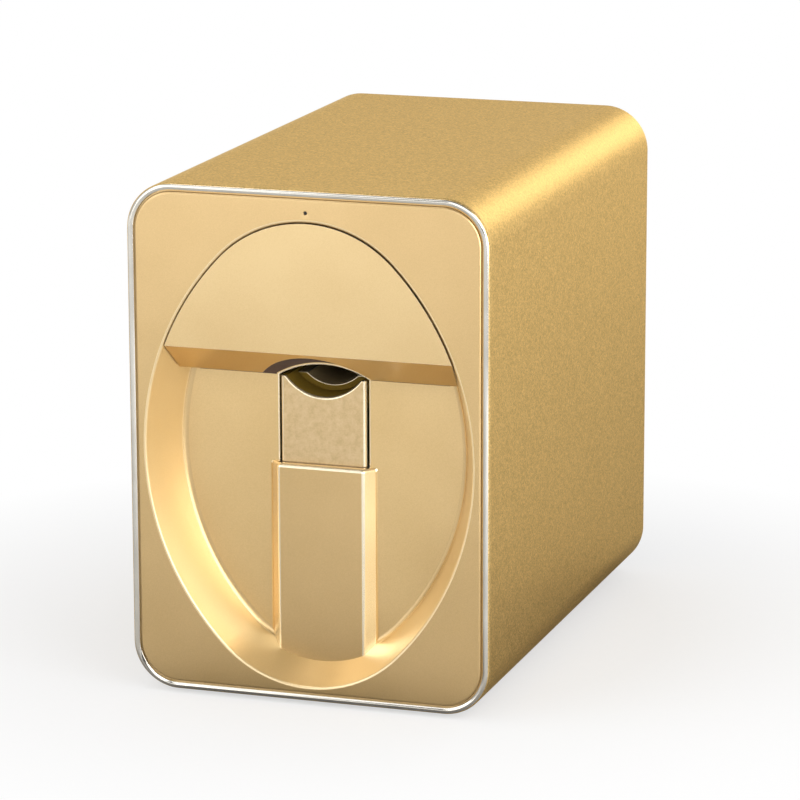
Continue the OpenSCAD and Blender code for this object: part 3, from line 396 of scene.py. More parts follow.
def ovalLoop(inset, count=36, s=recessSizes):
    a, b, endR = s["halfW"], s["halfH"], s["endR"]
    sideR = (a * a + b * b - 2 * b * endR) / (2 * (a - endR))
    sideX, endZ = sideR - a, b - endR
    join = math.atan2(endZ, sideX)
    loop = arcPoints(-sideX, 0, sideR - inset, -join, join, count)
    loop += arcPoints(0, endZ, endR - inset, join, math.pi - join, count)
    loop += arcPoints(sideX, 0, sideR - inset, math.pi - join, math.pi + join, count)
    loop += arcPoints(0, -endZ, endR - inset, math.pi + join, 2 * math.pi - join, count)
    return [(x, baseZ + s["midH"] + z) for x, z in loop]


def roundedLoop(width, height, r, count=20):
    loop = []
    for quarter in range(4):
        start = quarter * math.pi / 2
        sx, sz = (1, -1, -1, 1)[quarter], (1, 1, -1, -1)[quarter]
        centre = (sx * (width / 2 - r), sz * (height / 2 - r))
        loop += arcPoints(*centre, r, start, start + math.pi / 2, count)
        end = start + math.pi / 2
        loop.append((centre[0] + r * math.cos(end), centre[1] + r * math.sin(end)))
    return loop


def quarterTurn(steps):
    return [i * math.pi / (2 * steps) for i in range(steps + 1)]


def frontLoop(points, y, z=0.0):
    return [Vector((x, y, z + h)) for x, h in points]


def insideLoop(spot, loop):
    inside = False
    for (x0, z0), (x1, z1) in zip(loop, loop[1:] + loop[:1]):
        if (z0 > spot.y) != (z1 > spot.y) and spot.x < x0 + (x1 - x0) * (spot.y - z0) / (z1 - z0):
            inside = not inside
    return inside


class MeshMaker:
    def __init__(self):
        self.points, self.faces, self.kinds = [], [], []

    def addLoop(self, loop):
        start = len(self.points)
        self.points += [Vector(p) for p in loop]
        return list(range(start, len(self.points)))

    def bridge(self, first, second, kind=0):
        count = len(first)
        for i in range(count):
            k = (i + 1) % count
            self.addFace((first[i], first[k], second[k], second[i]), kind)

    def addFace(self, corners, kind=0):
        self.faces.append(tuple(corners))
        self.kinds.append(kind)

    def sweepLoops(self, loops, kind=0):
        rings = [self.addLoop(loop) for loop in loops]
        for first, second in zip(rings, rings[1:]):
            self.bridge(first, second, kind)
        return rings

    def capEnds(self, rings):
        self.addFace(rings[0])
        self.addFace(rings[-1][::-1])

    def fillFlat(self, rings, y, kind=0, towardsFront=True):
        flat, edges = [], []
        for ring in rings:
            start = len(flat)
            flat += [Vector((self.points[i].x, self.points[i].z)) for i in ring]
            edges += [(start + k, start + (k + 1) % len(ring)) for k in range(len(ring))]
        index = [i for ring in rings for i in ring]
        found = delaunay_2d_cdt(flat, edges, [], 1, 1e-7)
        origin = found[3]
        outlines = [[(self.points[i].x, self.points[i].z) for i in ring] for ring in rings]
        for corners in found[2]:
            middle = sum((found[0][c] for c in corners), Vector((0, 0))) / len(corners)
            if sum(insideLoop(middle, outline) for outline in outlines) != 1:
                continue
            face = [index[origin[c][0]] for c in corners]
            a, b, c = (self.points[i] for i in face[:3])
            forwards = (b - a).cross(c - a).y < 0
            self.addFace(face if forwards == towardsFront else face[::-1], kind)

    def build(self, name, materials, smoothAngle=32.0):
        mesh = bpy.data.meshes.new(name)
        mesh.from_pydata([p * mm for p in self.points], [], self.faces)
        for material in materials:
            mesh.materials.append(material)
        mesh.polygons.foreach_set("material_index", self.kinds)
        mesh.validate()
        return finishMesh(name, mesh, smoothAngle)


def evenNormals(thing, angle):
    thing.data.shade_smooth()
    thing.data.set_sharp_from_angle(angle=math.radians(angle))
    even = thing.modifiers.new("evenNormals", "WEIGHTED_NORMAL")
    even.keep_sharp = True


def finishMesh(name, mesh, smoothAngle):
    shape = bmesh.new()
    shape.from_mesh(mesh)
    bmesh.ops.remove_doubles(shape, verts=shape.verts, dist=1e-7)
    bmesh.ops.recalc_face_normals(shape, faces=shape.faces)
    shape.to_mesh(mesh)
    shape.free()
    thing = bpy.data.objects.new(name, mesh)
    bpy.context.scene.collection.objects.link(thing)
    evenNormals(thing, smoothAngle)
    return thing


def settle(thing):
    bpy.context.view_layer.update()
    evaluated = thing.evaluated_get(bpy.context.evaluated_depsgraph_get())
    mesh = bpy.data.meshes.new_from_object(evaluated)
    thing.modifiers.clear()
    thing.data = mesh
    return thing


def cutAway(thing, *cutters):
    return join(thing, *cutters, kind="DIFFERENCE")


def softenEdges(thing, width, segments=3, angle=40.0, bevelHighlight=None):
    edge = thing.modifiers.new("softEdges", "BEVEL")
    # the bevel faces take the given paler gold: painted highlight along the edges
    if bevelHighlight:
        thing.data.materials.append(bevelHighlight)
        edge.material = len(thing.data.materials) - 1
    edge.width = width * mm
    edge.segments = segments
    edge.limit_method = "ANGLE"
    edge.angle_limit = math.radians(angle)
    edge.use_clamp_overlap = True
    settle(thing)
    evenNormals(thing, angle)
    return thing


def prism(name, outline, start, end, along="y", material=None):
    maker = MeshMaker()
    place = {
        "x": lambda p, t: Vector((t, p[0], p[1])),
        "y": lambda p, t: Vector((p[0], t, p[1])),
        "z": lambda p, t: Vector((p[0], p[1], t)),
    }[along]
    first, second = (maker.addLoop([place(p, t) for p in outline]) for t in (start, end))
    maker.bridge(first, second)
    maker.capEnds([first, second])
    return maker.build(name, [material] if material else [])


def circleOutline(x, z, r, count=64):
    return arcPoints(x, z, r, 0, 2 * math.pi, count)


def boxOutline(x0, x1, z0, z1):
    return [(x0, z0), (x1, z0), (x1, z1), (x0, z1)]


def lathe(name, profile, centre, axis, material, count=48):
    maker = MeshMaker()
    turn = Vector((0, 0, 1)).rotation_difference(Vector(axis)).to_matrix()
    rings = []
    for radius, along in profile:
        spots = 1 if radius == 0 else count
        ring = [turn @ Vector((radius * math.cos(a), radius * math.sin(a), along)) + Vector(centre)
                for a in (2 * math.pi * i / count for i in range(spots))]
        rings.append(maker.addLoop(ring))
    for first, second in zip(rings, rings[1:]):
        for i in range(count):
            k = (i + 1) % count
            around = ((first, i), (first, k), (second, k), (second, i))
            corners = [ring[spot % len(ring)] for ring, spot in around]
            maker.addFace(list(dict.fromkeys(corners)))
    return maker.build(name, [material], 35)


def tube(name, path, radius, material, sides=10):
    maker = MeshMaker()
    rings = []
    side = Vector((0, 0, 1))
    for i, spot in enumerate(path):
        ahead = (path[min(i + 1, len(path) - 1)] - path[max(i - 1, 0)]).normalized()
        side = (side - ahead * side.dot(ahead)).normalized()
        across = ahead.cross(side)
        turns = (2 * math.pi * k / sides for k in range(sides))
        ring = [spot + radius * (math.cos(t) * side + math.sin(t) * across) for t in turns]
        rings.append(maker.addLoop(ring))
    for first, second in zip(rings, rings[1:]):
        maker.bridge(first, second)
    maker.capEnds(rings)
    return maker.build(name, [material], 60)


def join(thing, *others, kind="UNION"):
    for other in others:
        step = thing.modifiers.new("join", "BOOLEAN")
        step.operation = kind
        step.solver = "EXACT"
        step.object = other
    settle(thing)
    for other in others:
        bpy.data.objects.remove(other)
    return thing


def cuboid(name, corner, far, material=None):
    return prism(name, boxOutline(corner[0], far[0], corner[2], far[2]), corner[1], far[1], "y", material)


def place(thing, body, slotName, *replaced):
    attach(thing, body)
    if replaced:
        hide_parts(*replaced)
    return thing


def sleeveShell(s):
    maker = MeshMaker()
    loops = []

    def ring(out, y):
        r = s["cornerR"] + out
        points = roundedLoop(bodyW + 2 * out, bodyH + 2 * out, r, 28)
        loops.append(frontLoop(points, y, midZ))

    ring(-s["wall"], sleeveFront)
    ring(-s["frontBevel"], sleeveFront)
    ring(0, sleeveFront + s["frontBevel"])
    for y in (sleeveFront + 2, rearY - 2):
        ring(0, y)
    for a in quarterTurn(4):
        ring(s["edgeR"] * (math.cos(a) - 1), rearY - s["edgeR"] * (1 - math.sin(a)))
    ring(-s["wall"] + s["innerBevel"], rearY)
    ring(-s["wall"], rearY - s["innerBevel"])
    rings = maker.sweepLoops(loops)
    maker.bridge(rings[-1], rings[0])
    return maker.build("sleeveShell", [finishes["gold_metal"]])


def frontRim(s):
    maker = MeshMaker()
    rise = sleeveFront - faceY
    crown = s["rimW"] - s["rimFlat"]
    steps = [(0, 0), (0, -s["rimStep"])]
    for a in quarterTurn(8)[1:]:
        steps.append((-crown * (1 - math.cos(a)), -s["rimStep"] - (rise - s["rimStep"]) * math.sin(a)))
    dip = s["rimDip"] - rise
    steps += [(-s["rimW"] + 0.12, dip), (-s["rimW"], 0.15 + dip), (-s["rimW"], 0)]
    loops = []
    for out, forward in steps:
        points = roundedLoop(bodyW + 2 * out, bodyH + 2 * out, s["cornerR"] + out, 28)
        loops.append(frontLoop(points, sleeveFront + forward, midZ))
    rings = maker.sweepLoops(loops)
    count = len(rings[0])
    golden = sum(out > -s["rimBand"] for out, forward in steps) - 1
    maker.kinds[:golden * count] = [1] * golden * count
    maker.bridge(rings[-1], rings[0])
    return maker.build("frontRim", [finishes["chrome"], finishes["gold_metal"]], 38)


place(sleeveShell(shellSizes), "housing", "gold_metal", "sleeve")
place(frontRim(shellSizes), "housing", "chrome", "front_rim")
print("sleeve and rim made")


lean = recessSizes["draft"] / recessSizes["deep"]
leanAngle = math.atan(lean)
leanK = math.sqrt(1 + lean * lean)
floorY = faceY + recessSizes["deep"]
backY = floorY + recessSizes["wall"]
recessFloorInset = lean * (recessSizes["deep"] - recessSizes["fillet"]) + leanK * recessSizes["fillet"]

holeSizes = {
    "width": 33.6,
    "top": 119.1,
    "archR": 33.5,
    "low": 40.0,
    "edge": 0.5,
}
baySizes = {"width": 42.0, "low": 129.0, "margin": 3.0}
lampSizes = {"height": 177.0, "d": 1.3, "edge": 0.25}


def archOutline(s, grow=0.0, steps=24):
    half = s["width"] / 2 + grow
    r = s["archR"] + grow
    mid = baseZ + s["top"] - s["archR"]
    side = math.acos(half / r)
    points = [(-half, baseZ + s["low"] - grow), (half, baseZ + s["low"] - grow)]
    points += arcPoints(0, mid, r, side, math.pi - side, steps)
    points.append((-half, mid + r * math.sin(side)))
    return points


def bayOutline(s, grow=0.0):
    half, floor = s["width"] / 2 + grow, baseZ + s["low"] - grow
    loop = ovalLoop(recessFloorInset + s["margin"] - grow)
    top = [p for p in loop if abs(p[0]) < half and p[1] > baseZ + recessSizes["midH"]]
    top.sort(key=lambda p: -p[0])
    side = min(p[1] for p in top)
    return [(-half, floor), (half, floor), (half, side)] + top + [(-half, side)]


def frontFace(s, r):
    maker = MeshMaker()
    width = bodyW - 2 * (s["rimW"] + s["seam"])
    height = bodyH - 2 * (s["rimW"] + s["seam"])
    corner = s["cornerR"] - s["rimW"] - s["seam"]
    edge = s["panelEdge"]
    back = faceY + s["panelT"]
    ledge, ledgeDeep = s["seam"] - s["ledgeGap"], faceY + s["ledge"]
    steps = [(0, back), (ledge, back), (ledge, ledgeDeep), (0, ledgeDeep)]
    steps += [(edge * (math.cos(a) - 1), faceY + edge * (1 - math.sin(a))) for a in quarterTurn(5)]
    outer = [frontLoop(roundedLoop(width + 2 * out, height + 2 * out, corner + out, 20), y, midZ)
             for out, y in steps]
    outerRings = maker.sweepLoops(outer)
    lipX = r["lip"] * (leanK - lean)
    lip = []
    for i in range(9):
        a = math.pi / 2 + (math.pi / 2 - leanAngle) * i / 8
        lip.append(frontLoop(ovalLoop(-lipX - r["lip"] * math.cos(a)), faceY + r["lip"] * (1 - math.sin(a))))
    lip.append(frontLoop(ovalLoop(lean * s["panelT"]), back))
    lipRings = maker.sweepLoops(lip, 1)
    lamp = []
    lampEdge = lampSizes["edge"]
    for a in quarterTurn(3):
        lampR = lampSizes["d"] / 2 + lampEdge * (1 - math.sin(a))
        points = circleOutline(0, baseZ + lampSizes["height"], lampR, 24)
        lamp.append(frontLoop(points, faceY + lampEdge * (1 - math.cos(a))))
    lamp.append([Vector((p.x, back, p.z)) for p in lamp[-1]])
    lampRings = maker.sweepLoops(lamp)
    maker.fillFlat([outerRings[-1], lipRings[0], lampRings[0]], faceY)
    maker.fillFlat([outerRings[0], lipRings[-1], lampRings[-1]], back, 0, False)
    return maker.build("frontFace", [finishes["gold_panel"], finishes["gold_gloss"]], 40)


def recessWall(s, r):
    maker = MeshMaker()
    loops = [frontLoop(ovalLoop(lean * s["panelT"]), faceY + s["panelT"])]
    for i in range(9):
        a = -leanAngle - (math.pi / 2 - leanAngle) * i / 8
        inset = recessFloorInset - r["fillet"] * math.cos(a)
        loops.append(frontLoop(ovalLoop(inset), floorY - r["fillet"] * (1 + math.sin(a))))
    loops.append(frontLoop(ovalLoop(recessFloorInset), backY))
    for deep in (r["deep"] + r["wall"], s["panelT"]):
        loops.append(frontLoop(ovalLoop(lean * deep - leanK * r["wall"]), faceY + deep))
    rings = maker.sweepLoops(loops)
    count = len(rings[0])
    maker.kinds[3 * count:9 * count] = [1] * 6 * count  # the fillet takes the darker panel gold: painted shade along the wall's join with the floor
    maker.bridge(rings[-1], rings[0])
    return maker.build("recessWall", [finishes["gold_gloss"], finishes["gold_panel"]], 40)


def recessFloor():
    maker = MeshMaker()
    sides = maker.sweepLoops([frontLoop(ovalLoop(recessFloorInset), y) for y in (floorY, backY)])
    holes = []
    for outline, sizes in ((archOutline, holeSizes), (bayOutline, baySizes)):
        edge = holeSizes["edge"]
        loops = [frontLoop(outline(sizes, edge * (1 - math.sin(a))), floorY + edge * (1 - math.cos(a)))
                 for a in quarterTurn(3)]
        loops.append(frontLoop(outline(sizes), backY))
        holes.append(maker.sweepLoops(loops, 1))
    maker.fillFlat([sides[0]] + [ring[0] for ring in holes], floorY)
    maker.fillFlat([sides[-1]] + [ring[-1] for ring in holes], backY, 0, False)
    return maker.build("recessFloor", [floorGold, edgeHighlightGold], 40)


shadeSheetSizes = {  # a thin dark sheet laid on the recess floor: painted shade between the cover's arch and the finger hole
    "low": 114.7,
    "inset": 0.5,
    "t": 0.15,
    "clear": 0.9,
}


def coverShadeSheet(s):
    rim = ovalLoop(recessFloorInset + s["inset"])
    bottom = baseZ + s["low"]
    outline = sorted((p for p in rim if p[1] > bottom), key=lambda p: math.atan2(p[1] - bottom, p[0]))
    outline = [(outline[0][0], bottom)] + outline + [(outline[-1][0], bottom)]
    backer = prism("coverShadeSheet", outline, floorY - s["t"], floorY, "y", shadeSheetBrown)
    cutAway(backer, *(prism("gap", shape(sizes, s["clear"]), floorY - 2, floorY + 2)
                      for shape, sizes in ((archOutline, holeSizes), (bayOutline, baySizes))))
    return backer


place(coverShadeSheet(shadeSheetSizes), "housing", "dark_plastic")
place(frontFace(shellSizes, recessSizes), "housing", "gold_panel", "front_panel")
place(recessWall(shellSizes, recessSizes), "housing", "gold_gloss", "recess_wall")
place(recessFloor(), "housing", "gold_panel", "recess_floor")
print("front made")


blockSizes = {
    "top": 83.0,
    "deep": 14.0,
    "width": 32.0,
    "baseWidth": 39.0,
    "wall": 2.5,
    "edge": 2.0,
    "topEdge": 1.3,
    "foot": 0.8,
    "sink": 1.0,  # how far its lower end reaches into the recess wall
    "start": 8.5,  # where it is swept from, below the oval that trims it
    "bury": 0.6,  # how far it goes into the recess floor
    "highlightLeanLeast": 0.12,  # faces that lean more than this take the paler, polished edge gold: painted highlight on the block's sides and top
}


def roundCorner(before, corner, after, r, count=6):
    toBefore, toAfter = ((Vector(p) - Vector(corner)).normalized() for p in (before, after))
    half = toBefore.angle(toAfter) / 2
    centre = Vector(corner) + (toBefore + toAfter).normalized() * r / math.sin(half)
    first = Vector(corner) + toBefore * r / math.tan(half) - centre
    last = Vector(corner) + toAfter * r / math.tan(half) - centre
    turn = first.angle_signed(last)
    arc = []
    for i in range(count + 1):
        a = -turn * i / count
        x = centre.x + first.x * math.cos(a) - first.y * math.sin(a)
        y = centre.y + first.x * math.sin(a) + first.y * math.cos(a)
        arc.append((x, y))
    return arc


def blockSection(s, back, inset=0.0):
    face, foot = faceY + s["deep"] + inset, s["foot"]
    half, base = s["width"] / 2 - inset, s["baseWidth"] / 2 - inset
    above = (base - 0.15 * foot, floorY - 0.8 * foot)
    side = [(base + foot, back), (base + foot, floorY), (base + 0.35 * foot, floorY - 0.2 * foot), above]
    side += roundCorner(above, (half, face), (0, face), s["edge"])
    return [(-x, y) for x, y in side] + side[::-1]


def guideBlock(s):
    maker = MeshMaker()
    top, edge, back = baseZ + s["top"], s["topEdge"], floorY + s["bury"]
    loops = [[Vector((x, y, baseZ + s["start"])) for x, y in blockSection(s, back)]]
    for a in quarterTurn(5):
        section = blockSection(s, back, edge * (1 - math.cos(a)))
        loops.append([Vector((x, y, top - edge * (1 - math.sin(a)))) for x, y in section])
    maker.capEnds(maker.sweepLoops(loops))
    block = maker.build("guideBlock", [finishes["gold_panel"], edgeHighlightGold], 50)
    hole = holeSizes["width"] / 2
    pocketFront = faceY + s["deep"] + s["wall"]
    pocketOutline = boxOutline(-hole, hole, pocketFront, floorY + 3)
    cutAway(block, prism("pocket", pocketOutline, baseZ + holeSizes["low"], top + 3, "z"))
    keeper = MeshMaker()
    depths = (s["deep"] - 2, recessSizes["deep"] + 2)
    loops = [frontLoop(ovalLoop(lean * deep - s["sink"]), faceY + deep) for deep in depths]
    keeper.capEnds(keeper.sweepLoops(loops))
    join(block, keeper.build("keeper", []), kind="INTERSECT")
    evenNormals(block, 32)
    # leaning sides and up-facing faces take the paler edge gold as painted highlight
    least = s["highlightLeanLeast"]
    for face in block.data.polygons:
        outside = abs(face.center.x) > (hole + 0.1) * mm or face.center.y < (pocketFront - 0.1) * mm
        side = abs(face.normal.x) > least and face.center.y < (floorY - s["foot"]) * mm
        face.material_index = int(outside and (side or face.normal.z > least))
    return block


place(guideBlock(blockSizes), "housing", "gold_panel", "guide_block")
print("guide block made")


coverSizes = {
    "seam": 0.7,
    "wall": 2.0,
    "edgeH": 126.5,
    "chinH": 116.6,
    "chinDeep": 11.0,
    "archR": 29.0,
    "archH": 125.0,
    "soft": 0.55,
    "magnetX": 29.0,
    "magnetH": 141.0,
    "magnetD": 6.0,
    "magnetT": 1.7,
    "magnetGap": 0.3,
    "postWall": 1.5,
    "postBevel": 0.3,
    "outlineSteps": 120,
}


def coverOutline(inset, bottom, count):
    loop = ovalLoop(inset, 60)
    top = [p for p in loop if p[1] > bottom]
    top.sort(key=lambda p: math.atan2(p[1] - bottom, p[0]))
    a, b, endR = (recessSizes[k] for k in ("halfW", "halfH", "endR"))
    sideR = (a * a + b * b - 2 * b * endR) / (2 * (a - endR))
    h = bottom - baseZ - recessSizes["midH"]
    half = math.sqrt((sideR - inset) ** 2 - h * h) - (sideR - a)
    whole = [(half, bottom)] + top + [(-half, bottom)]
    lengths = [0.0]
    for p, q in zip(whole, whole[1:]):
        lengths.append(lengths[-1] + math.dist(p, q))
    points, k = [], 0
    for i in range(count + 1):
        want = lengths[-1] * i / count
        while k < len(lengths) - 2 and lengths[k + 1] < want:
            k += 1
        t = (want - lengths[k]) / max(lengths[k + 1] - lengths[k], 1e-9)
        points.append(tuple(u + (v - u) * t for u, v in zip(whole[k], whole[k + 1])))
    return points


def coverForm(name, s, inset, deep0, deep1, chinMove):
    drop = (s["edgeH"] - s["chinH"]) / s["chinDeep"]
    rise = chinMove * math.sqrt(1 + drop * drop)
    maker = MeshMaker()
    rings = []
    for deep in (deep0, deep1):
        bottom = baseZ + s["edgeH"] - drop * deep + rise
        outline = coverOutline(inset + lean * deep, bottom, s["outlineSteps"])
        rings.append(maker.addLoop(frontLoop(outline, faceY + deep)))
    maker.bridge(rings[0], rings[1])
    maker.capEnds(rings)
    return maker.build(name, [finishes["cover_gold"]])


def coverShell(s):
    shell = coverForm("coverShell", s, s["seam"], 0, s["chinDeep"], 0)
    hollow = coverForm("hollow", s, s["seam"] + leanK * s["wall"], s["wall"], s["chinDeep"] + 1, s["wall"])
    archCircle = circleOutline(0, baseZ + s["archH"] - s["archR"], s["archR"], 160)
    arch = prism("arch", archCircle, faceY - 1, faceY + s["chinDeep"] + 2)
    cutAway(shell, hollow, arch)
    softenEdges(shell, s["soft"], 3, 32, edgeHighlightGold)
    back = floorY - s["magnetGap"]
    for side in (-1, 1):
        centre = (side * s["magnetX"], 0, baseZ + s["magnetH"])
        outer, inner = s["magnetD"] / 2 + s["postWall"], s["magnetD"] / 2 + 0.05
        front, bevel, seat = faceY + s["wall"] / 2, s["postBevel"], back - s["magnetT"]
        profile = [(0, front), (outer, front), (outer, back - bevel), (outer - bevel, back)]
        profile += [(inner, back), (inner, seat), (0, seat)]
        post = lathe(f"magnetPost{'LR'[side > 0]}", profile, centre, (0, 1, 0), finishes["cover_gold"])
        post.parent = shell
    return shell


place(coverShell(coverSizes), "cover", "cover_gold", "cover")
print("cover made")


restLow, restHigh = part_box("finger_rest")
restSizes = {
    "halfW": 16.0,
    "plateT": 2.0,
    "plateEdge": 1.3,
    "channelR": 17.5,
    "channelDeep": 6.8,
    "channelWall": 2.4,
    "edge": 0.3,
    "notchEdge": 0.9,
    "highlightLeanLeast": 0.12,  # faces that lean more than this take the paler, polished edge gold: painted highlight on the plate's sides and the notch's rim
    "rodX": 12.0,
    "rodBack": 25.25,
    "rodR": 2.05,
    "webHalfW": 7.0,
    "webHalfL": 6.0,
    "sliderH": 12.0,
    "sliderHalfL": 8.0,
}
padSizes = {"start": 10.5, "outerR": 17.4, "innerR": 13.8, "t": 2.4, "short": 1.0, "drop": 0.5, "edge": 0.7}


def fingerRest(s):
    front, back = restLow.y / mm, restHigh.y / mm
    bottom, top = restLow.z / mm, restHigh.z / mm
    half, edge = s["halfW"], s["plateEdge"]
    plateBack = front + s["plateT"]
    plan = [(-half, plateBack)]
    plan += arcPoints(edge - half, front + edge, edge, math.pi, 1.5 * math.pi, 8) + [(edge - half, front)]
    plan += arcPoints(half - edge, front + edge, edge, 1.5 * math.pi, 2 * math.pi, 8)
    plan += [(half, front + edge), (half, plateBack)]
    rest = prism("fingerRest", plan, bottom, top, "z", finishes["rest_gold"])
    low = top - s["channelDeep"] - s["channelWall"]
    rodY = front + s["rodBack"]
    slideHalf = (restHigh.x - restLow.x) / 2 / mm
    body = cuboid("restBody", (-half, plateBack - 0.3, low), (half, back, top))
    webW, webL, sliderL = s["webHalfW"], s["webHalfL"], s["sliderHalfL"]
    web = cuboid("restWeb", (-webW, rodY - webL, bottom + 1), (webW, rodY + webL, low + 0.5))
    slider = cuboid("restSlider", (-slideHalf, rodY - sliderL, bottom + 0.1),
                    (slideHalf, rodY + sliderL, bottom + s["sliderH"]))
    join(rest, body, web, slider)
    channelZ = top - s["channelDeep"] + s["channelR"]
    flare, notch = MeshMaker(), s["notchEdge"]
    steps = [(front - 1, notch)]
    steps += [(front + notch * (1 - math.cos(a)), notch * (1 - math.sin(a))) for a in quarterTurn(6)]
    steps.append((back + 1, 0))
    loops = [frontLoop(circleOutline(0, channelZ, s["channelR"] + out, 180), y) for y, out in steps]
    flare.capEnds(flare.sweepLoops(loops))
    cutters = [flare.build("channel", [])]
    for side in (-1, 1):
        rodCircle = circleOutline(side * s["rodX"], rodY, s["rodR"], 32)
        cutters.append(prism("rodHole", rodCircle, bottom - 1, bottom + s["sliderH"] + 2, "z"))
    cutAway(rest, *cutters)
    softenEdges(rest, s["edge"], 3, 35, edgeHighlightGold)
    rest.data.materials.append(padAndShadeOlive)
    least = s["highlightLeanLeast"]
    # plate sides and notch rim: painted highlight in paler edge gold; everything behind the notch: painted
    # shade in dark olive
    for face in rest.data.polygons:
        side, spot = abs(face.normal.x), face.center.y
        if spot < (front + (s["plateT"] if side > 0.9 else edge)) * mm and side > least:
            face.material_index = 1
        elif spot < (front + notch) * mm and face.normal.z > least:
            face.material_index = 1
        elif spot > (front + notch) * mm:
            face.material_index = 2
    return rest


def fingerPad(s):
    front = restLow.y / mm + s["start"]
    back, top = restHigh.y / mm - s["short"], restHigh.z / mm - s["drop"]
    channelLow = restHigh.z / mm - restSizes["channelDeep"]
    outerZ, innerZ = channelLow + restSizes["channelR"], channelLow + s["t"] + s["innerR"]
    outlines = []
    for centre, r in ((outerZ, s["outerR"]), (innerZ, s["innerR"])):
        side = math.asin((centre - top) / r)
        arc = arcPoints(0, centre, r, math.pi + side, 2 * math.pi - side, 48)
        outlines.append(arc + [(r * math.cos(side), top)])
    pad = prism("fingerPad", outlines[0] + outlines[1][::-1], front, back, "y", padAndShadeOlive)
    softenEdges(pad, s["edge"], 4, 35, edgeHighlightGold)
    pad.data.materials.append(padLitTopTan)
    middle = (s["outerR"] + s["innerR"]) / 2
    # outer bevels go back to the olive; the inner bevel keeps the paler edge gold as painted highlight, and
    # up-facing top faces take the tan as painted light
    for face in pad.data.polygons:
        height = face.center.z / mm - innerZ
        inside = math.hypot(face.center.x / mm, height) < middle
        if face.material_index and not inside:
            face.material_index = 0
        elif not face.material_index and inside and face.normal.z > 0.2:
            face.material_index = 2
    return pad


springSizes = {"wire": 0.9, "coilR": 3.1, "turns": 8, "endTurns": 1, "low": 36.0, "high": 64.0, "flat": 8.0}


def restSpring(side, s):
    centre = Vector((side * restSizes["rodX"], restLow.y / mm + restSizes["rodBack"], 0))
    half = s["wire"] / 2
    total = s["turns"] + 2 * s["endTurns"]
    path = []
    for i in range(total * 20 + 1):
        turn = i / 20
        if turn < s["endTurns"]:
            z = s["low"] + half + s["wire"] * turn
        elif turn > total - s["endTurns"]:
            z = s["high"] - half - s["wire"] * (total - turn)
        else:
            share = (turn - s["endTurns"]) / s["turns"]
            z = s["low"] + half + s["wire"] + share * (s["high"] - s["low"] - 4 * half - s["wire"])
        a = 2 * math.pi * turn
        path.append(centre + Vector((s["coilR"] * math.cos(a), s["coilR"] * math.sin(a), z)))
    name = "Left" if side < 0 else "Right"
    spring = tube("restSpring" + name, path, half, finishes["ground_steel"])
    place(settle(spring), "housing", "ground_steel", "rest_spring_" + name.lower())
    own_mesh(spring)


place(fingerRest(restSizes), "finger_rest", "rest_gold", "finger_rest")
place(fingerPad(padSizes), "finger_rest", "pad_silicone", "finger_pad")
for springSide in (-1, 1):
    restSpring(springSide, springSizes)
print("finger rest made")


rearSizes = {
    "inset": 1.5,
    "t": 2.5,
    "room": 0.4,
    "edge": 0.35,
    "ventCount": 9,
    "ventW": 52.0,
    "ventH": 2.4,
    "ventPitch": 6.0,
    "ventDrop": 12.5,
    "screwX": 48.0,
    "screwHeights": (44.0, 158.0),
    "screwR": 2.9,
    "screwT": 1.4,
    "crossW": 0.7,
    "portX": 36.0,
    "portHeight": 24.0,
    "holeR": 1.7,
    "buttonR": 6.0,
    "buttonOut": 1.0,
    "buttonStem": (1.5, 3.8, 5.3),  # how far its collar stands out, and where that starts and ends
    "socketHalf": 5.5,
    "socketBore": 2.8,
    "socketL": 12.5,
}


def rearPanel(s):
    out = rearY - s["inset"]
    inner = out - s["t"]
    wall = shellSizes["wall"] + s["room"]
    loop = roundedLoop(bodyW - 2 * wall, bodyH - 2 * wall, shellSizes["cornerR"] - wall, 16)
    panel = prism("rearPanel", [(x, midZ + z) for x, z in loop], inner, out, "y", finishes["dark_plastic"])
    cutters = []
    for i in range(s["ventCount"]):
        z = midZ - s["ventDrop"] + (i - (s["ventCount"] - 1) / 2) * s["ventPitch"]
        slotOutline = [(x, z + h) for x, h in roundedLoop(s["ventW"], s["ventH"], 0.45 * s["ventH"], 6)]
        cutters.append(prism("vent", slotOutline, inner - 1, out + 1))
    for x in (-s["screwX"], s["screwX"]):
        for height in s["screwHeights"]:
            for r, start in ((s["holeR"], inner - 1), (s["screwR"] + 0.2, out - s["screwT"])):
                screwCircle = circleOutline(x, baseZ + height + 1e-3, r, 40)  # off the grid for a clean cut
                cutters.append(prism("screwHole", screwCircle, start, out + 1))
    portX, portZ = s["portX"], baseZ + s["portHeight"]
    buttonCircle = circleOutline(-portX, portZ, s["buttonR"] + 0.3, 64)
    cutters.append(prism("buttonHole", buttonCircle, inner - 1, out + 1))
    hole = s["socketHalf"] + 0.05
    socketOutline = boxOutline(portX - hole, portX + hole, portZ - hole, portZ + hole)
    cutters.append(prism("socketHole", socketOutline, inner - 1, out + 1))
    cutAway(panel, *cutters)
    return softenEdges(panel, s["edge"], 2, 40)


def powerButton(s):
    out = rearY - s["inset"] + s["buttonOut"]
    r = s["buttonR"]
    collar, collarStart, collarEnd = s["buttonStem"]
    profile = [(0, -0.5), (3.2, -0.38), (4.6, -0.12), (5.1, 0), (5.45, -0.03), (5.75, -0.18), (5.93, -0.42)]
    profile += [(r, -0.7), (r, -collarStart), (r + collar, -collarStart)]
    profile += [(r + collar, -collarEnd), (0, -collarEnd)]
    profile = [(radius, out + along) for radius, along in profile]
    centre = (-s["portX"], 0, baseZ + s["portHeight"])
    return lathe("powerButton", profile, centre, (0, 1, 0), finishes["chrome"], 64)


